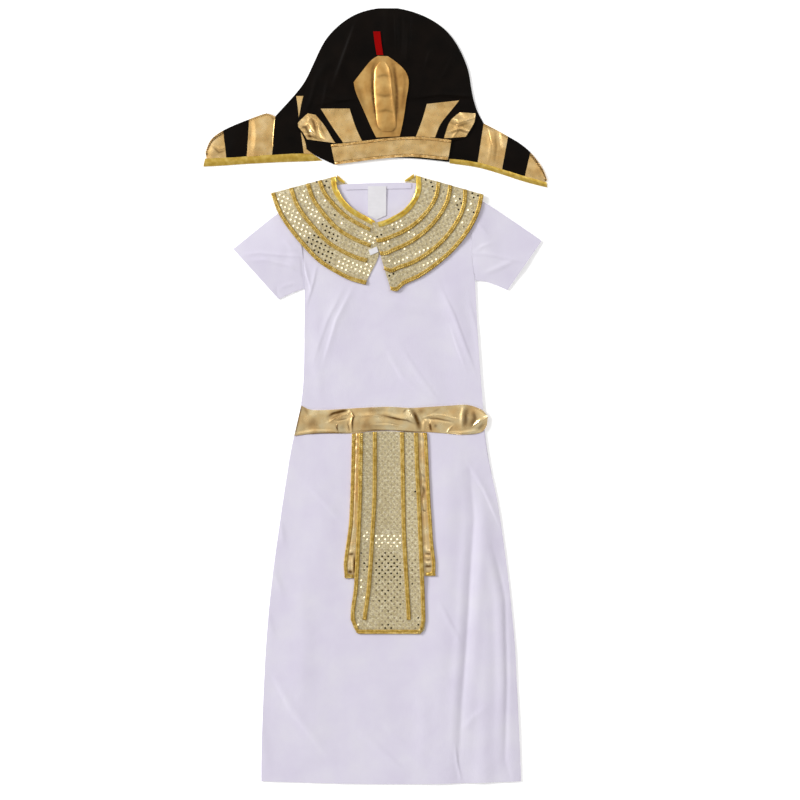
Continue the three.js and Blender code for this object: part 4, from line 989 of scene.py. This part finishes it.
# %% Belt, tabs and apron
BELT_CREASES = [
    Crease([(300, 410), (297, 424), (295, 434)], 4, 0.9),
    Crease([(329, 423), (336, 418.5), (349, 414), (350.5, 410)], 3, 1.6, 1),
    Crease([(336, 421), (342, 419), (348, 418)], 2, -0.8),
    Crease([(337.5, 423), (336.5, 427), (338, 432)], 1.8, 1.4, 1),
    Crease([(349, 410), (351.5, 417), (351, 424), (352, 433)], 2.5, 1.8, 1),
    Crease([(348.8, 421), (348, 425), (350, 432)], 1.5, -0.8),
    Crease([(356, 417), (372, 416), (388, 417), (406, 420)], 5, 1.3, 1),
    Crease([(371, 413.5), (388, 415.5), (400, 419)], 2, -0.6),
    Crease([(372, 424), (390, 424), (404, 427)], 4, 1.0, -1),
    Crease([(408, 409), (411, 416), (414, 421)], 4, 1.4, -1),
    Crease([(412, 409), (416, 417), (420, 424), (421, 432)], 5, -1.2),
    Crease([(424, 431), (424, 424), (426, 419)], 3, 1.2),
    Crease([(424, 417), (433, 414), (444, 415), (457, 418.5)], 2.5, 1.5, -1),
    Crease([(426, 418), (437, 419), (453, 422)], 2.5, -0.9),
    Crease([(429.5, 421), (430, 426), (431, 432)], 1.6, 1.5, 1),
    Crease([(447, 434), (449, 430), (453, 426)], 2, 1.4, 1),
    Crease([(464, 406), (462, 415), (462, 427)], 3, 1.6),
    Crease([(469, 409), (473, 418), (468, 428)], 7, -1.6),
    Crease([(471, 405), (479, 409.5), (487, 415)], 2.5, 1.2, 1),
    Crease([(473, 427), (480, 421), (488, 417)], 2.5, 2.0, 1),
    Crease([(446, 432.5), (461, 433), (474, 431)], 2, 1.2),
    Crease([(296, 434), (314, 431), (338, 431)], 2, 1.0),
]
# Painted shade, a brown in the film: along the folds at both ends, in the crushed wedges and at the lower
# edge
BELT_PAINTED_SHADE = [
    Crease([(302, 405), (298, 417), (294.5, 435)], 2.6, 0.85),
    Crease([(303, 407), (307, 412), (308, 416)], 2.5, 0.3),
    Crease([(305, 428), (313, 422), (320, 426)], 7, 0.28),
    Crease([(328, 416.5), (333, 413.5), (341, 411.5), (348.5, 410)], 2.4, 0.95),
    Crease([(329, 420), (338, 415.5), (343, 414)], 2.2, 0.45),
    Crease([(336, 420.5), (342, 419.3), (348, 418.5)], 1.4, 0.45),
    Crease([(337.6, 423), (336.8, 427), (338, 431.5)], 1.5, 0.8),
    Crease([(341, 425), (344, 429)], 5, 0.22),
    Crease([(348.8, 421), (348.2, 425), (349.8, 431.5)], 1.3, 0.55),
    Crease([(351, 410), (354, 416), (352.6, 421), (352.2, 431)], 1.7, 0.75),
    Crease([(358, 425), (372, 426), (384, 426)], 7, 0.25),
    Crease([(364, 410), (372, 410.5), (384, 410)], 4, 0.22),
    Crease([(371, 413.8), (388, 416), (400, 419.2)], 1.4, 0.45),
    Crease([(385, 416.5), (396, 418.8), (407, 420.3), (414, 423.5)], 1.6, 0.6),
    Crease([(388, 423), (400, 426)], 2, 0.25),
    Crease([(403, 412.5), (406.5, 409)], 1.6, 0.4),
    Crease([(411, 409), (415, 415), (418, 423), (420.5, 430.5)], 4.5, 0.75),
    Crease([(417, 410.5), (424, 412)], 4, 0.3),
    Crease([(429.6, 423), (431, 431)], 1.8, 0.95),
    Crease([(434, 424.5), (437, 427)], 3.5, 0.4),
    Crease([(425.5, 418), (436, 418.4), (444, 420), (453, 421.6)], 1.7, 0.5),
    Crease([(432, 412.6), (440, 408)], 1.6, 0.25),
    Crease([(467, 406.5), (465.5, 416), (465, 428)], 4.6, 0.6),
    Crease([(472, 410), (475, 418), (470, 428)], 5, 0.55),
    Crease([(484, 423), (477, 430)], 3.5, 0.4),
    Crease([(472, 404.5), (480, 408.5), (487.5, 414)], 1.6, 0.4),
    Crease([(295, 436), (315, 433.5), (350, 432.5)], 1.4, 0.7),
    Crease([(352, 431.5), (375, 430), (400, 431), (446, 434)], 1.4, 0.6),
    Crease([(446, 434.5), (466, 435.5), (476, 433.5)], 1.4, 0.7),
]
TAB_CREASES = [
    Crease([(357, 436), (356, 470), (354.5, 506), (352, 545)], 2.2, 0.8),
    Crease([(352.5, 556), (352.8, 565), (352.6, 573)], 1.6, 1.2),
    Crease([(349, 552), (354, 551)], 2, 0.8),
    Crease([(420, 446), (421.5, 470), (424, 500), (427, 540)], 2.5, 0.7),
    Crease([(421, 470), (424, 479), (426, 480)], 2, 1.1),
    Crease([(422, 500), (425, 508)], 2.5, 0.9),
    Crease([(425, 550), (431, 551)], 2, 1.2),
    Crease([(425, 556.5), (431, 557)], 2, 1.2),
    Crease([(425, 562.5), (431, 563)], 2, 1.2),
]
# Painted shade on the tabs, a brown in the film along their crimps and folds
TAB_PAINTED_SHADE = [
    Crease([(348.4, 554.3), (354, 553.6)], 1.8, 0.8),
    Crease([(354.3, 555), (354.5, 565), (354.2, 574)], 1.6, 0.95),
    Crease([(348, 571), (352.5, 572)], 2.6, 0.85),
    Crease([(354, 500), (352, 530), (350, 545)], 2, 0.3),
    Crease([(422, 484), (424, 491), (422.6, 498)], 2, 0.6),
    Crease([(420.8, 473), (425, 477.5)], 1.6, 0.4),
    Crease([(422.5, 510), (426, 511)], 1.6, 0.6),
    Crease([(425, 553.4), (431, 554)], 1.8, 0.75),
    Crease([(425.6, 560), (431, 559.4)], 1.6, 0.55),
    Crease([(425, 566), (431.5, 566)], 2, 0.95),
]
dress("belt_back", belt_lame, 2)
dress("belt_front", belt_lame, 2, 3, BELT_CREASES, (16, 0.6), BELT_PAINTED_SHADE)
for side in ("left", "right"):
    dress(f"tab_{side}", belt_lame, 2, 2, TAB_CREASES, (8, 0.7), TAB_PAINTED_SHADE)
    dress_braid(f"tab_{side}_braid", 6)
dress("apron", glitter_knit, 2, 0, (), (35, 0.2))
for braid in ("braid_edge", "braid_left", "braid_right"):
    dress_braid(f"apron_{braid}", 7)
add_sequins("apron", ["apron_braid_edge", "apron_braid_left", "apron_braid_right", "belt_front"], 0.0, 13)

# %% [markdown]
# The headdress is a black hood with a flat back, two striped wings and a stiffened brow band. Its crown
# keeps deep soft folds, and the gold stripes on it are crumpled where they were gathered.

# %% Headdress
HOOD_CREASES = [
    Crease([(355, 22), (345, 50), (332, 86)], 10, 2.0, 1),
    Crease([(394, 12), (395, 30), (396, 52)], 5, 1.2, 1),
    Crease([(402, 12), (401, 32), (400, 57)], 4, -0.8),
    Crease([(412, 15), (410, 36), (408, 62)], 6, 1.2, -1),
    Crease([(430, 48), (427, 58), (424, 68)], 6, 1.0, 1),
    Crease([(457, 48), (448, 64), (439, 82)], 9, 1.2, 1),
    Crease([(308, 112), (314, 96), (318, 78)], 5, 1.1, 1),
    Crease([(320, 112), (324, 98), (327, 80)], 5, 1.0, -1),
    Crease([(324, 97), (338, 102), (356, 100)], 5, 1.1, 1),
    Crease([(410, 101), (440, 96), (472, 98)], 5, 1.4, 1),
    Crease([(330, 60), (322, 72), (318, 84)], 8, 0.9),
    Crease([(318, 108), (334, 106), (352, 104)], 4, -1.2),
    Crease([(405, 101), (432, 99), (466, 100)], 4, -1.2),
]
GOLD_CREASES = [
    # the gathers
    Crease([(302, 120), (309, 127), (314, 140)], 3.4, 1.9, 1),
    Crease([(307, 115), (316, 122), (321, 137)], 3.4, 1.9, -1),
    Crease([(300, 132), (311, 133), (326, 142)], 3, 1.5, 1),
    Crease([(311, 118), (308, 126), (300, 129)], 3, 1.2, -1),
    Crease([(446, 118), (458, 124), (474, 119)], 3.6, 1.7, 1),
    Crease([(448, 132), (460, 128), (472, 132)], 3, 1.5, -1),
    Crease([(452, 140), (458, 132), (456, 122)], 3, 1.2, 1),
    # the wings
    Crease([(268, 113), (275, 119), (273, 140), (273, 158)], 3, 1.6, 1),
    Crease([(254, 118), (256, 136), (255, 154)], 5, 0.9),
    Crease([(488, 128), (492, 145), (490, 163)], 5, 0.9, -1),
    Crease([(498, 132), (500, 148), (497, 165)], 4, 0.8),
    Crease([(211, 144), (219, 150), (228, 148)], 3, 0.9, 1),
]
# Painted shade on the gathers and wings, a brown in the film along their folds
GOLD_PAINTED_SHADE = [
    Crease([(299, 126), (306, 128), (311, 139)], 2.6, 0.6),
    Crease([(311, 117), (314, 124), (317, 136)], 2.8, 0.65),
    Crease([(320, 118), (321, 128), (326, 138)], 1.8, 0.4),
    Crease([(303, 136), (313, 137), (322, 141)], 1.8, 0.5),
    Crease([(447, 121), (458, 126.5), (472, 122)], 2, 0.5),
    Crease([(450, 134), (460, 130.5), (470, 134)], 2, 0.5),
    Crease([(270, 115), (275.5, 121), (274.5, 140), (274, 157)], 2.2, 0.6),
    Crease([(251, 121), (250, 136), (250, 154)], 3, 0.25),
    Crease([(212, 146), (219, 152.5), (226, 150.5)], 1.6, 0.45),
    Crease([(495, 131), (496, 147), (494, 163)], 2.5, 0.3),
]
dress("headdress_back", black_cloth, 2, 0, (), (50, 0.3), grow=BINDING_GROWTH)
dress("hood_front", black_cloth, 2, 1, HOOD_CREASES, (60, 0.5))
dress("stripe_back_left", stripe_lame, 3, 0, (), (14, 0.4))
# Brown overlock stitches close the top edges of the wings' gold sections
WING_SEAMS = {"left": [(272.5, 115.5), (266.8, 114.2), (258, 117), (249.5, 120.2)],
              "right": [(484, 125), (495, 130.5), (507, 137.2)]}
SEAM_HEIGHT = 1.1 * MM
for side in ("left", "right"):
    dress(f"stripe_front_{side}", stripe_lame, 3, 0, (), (14, 0.5))
    dress(f"stripe_gather_{side}", stripe_lame, 3, 0, GOLD_CREASES, (13, 0.9), GOLD_PAINTED_SHADE)
    dress(f"wing_{side}_gold", stripe_lame, 3, 1, GOLD_CREASES, (18, 0.5), GOLD_PAINTED_SHADE, grow=WING_GROWTH)
    dress(f"wing_{side}_black", black_cloth, 3, 0, (), (30, 0.4), grow=WING_GROWTH)
    dress(f"wing_{side}_tip", stripe_lame, 3, 1, GOLD_CREASES, (14, 0.5), GOLD_PAINTED_SHADE, grow=WING_GROWTH)
    dress(f"wing_{side}_edge", brown_thread, 2)
    dress(f"wing_{side}_binding", wing_satin, 3, grow=BINDING_GROWTH)
    overlock(f"wing_{side}_edge_stitches", crown_path(f"wing_{side}_edge"), cord_yarn)
    seam = [Vector((*plan(place), SEAM_HEIGHT)) for place in WING_SEAMS[side]]
    overlock(f"wing_{side}_seam_stitches", seam, brown_thread)
dress("brow_band", stripe_lame, 3, 0, (), (12, 0.5))
dress_braid("brow_cord_bottom", 4.5, cord_yarn)
dress_braid("brow_cord_top", 4.5, cord_yarn)

# %% [markdown]
# The cobra on the brow is two layers of lame with a stuffed body quilted along its middle, and its tongue
# is felt.

# %% Cobra
COBRA_CREASES = [
    Crease([(374.5, 62), (373, 84), (375, 108), (379, 131)], 3.5, -1.0),
    Crease([(394, 62), (396, 84), (396, 108), (394, 131)], 3.5, -1.0),
    Crease([(362, 74), (366, 88), (368, 104)], 4, 0.45),
    Crease([(402, 66), (405, 84), (402, 104)], 3, 0.5),
]
# Painted shade on the cobra's hood, a brown in the film beside the body and along its folds
COBRA_PAINTED_SHADE = [
    Crease([(376, 60), (372.5, 70), (372.5, 92), (375, 112), (381, 134)], 3.2, 0.75),
    Crease([(391, 60), (394, 70), (397, 92), (397, 112), (393, 134)], 3.6, 0.7),
    Crease([(356, 84), (360, 96), (365, 112)], 5, 0.35),
    Crease([(405, 70), (404, 90), (402, 112)], 4, 0.3),
]
# Painted shade on the cobra's body, a brown in the film along its quilted channels
BODY_PAINTED_SHADE = [
    Crease([(376, 78), (384, 76), (392, 78)], 2.2, 0.35),
    Crease([(376, 95), (385, 97), (394, 95)], 2.4, 0.4),
    Crease([(377, 113), (386, 111), (394, 113)], 2.2, 0.35),
]
dress("cobra_hood", cobra_lame, 3, 0, COBRA_CREASES, (16, 0.4), COBRA_PAINTED_SHADE)
dress("cobra_body", cobra_lame, 3, 0, (), (11, 0.25), BODY_PAINTED_SHADE)
dress("cobra_tongue", red_felt, 3)

# %% [markdown]
# A cut of cloth is a record of its solid, the width, length and area it was cut to, what it rests on
# and how it is held. The cobra's body is stuffed.

Cut = namedtuple("Cut", "node width length area rests_on held", defaults=("", "laid"))
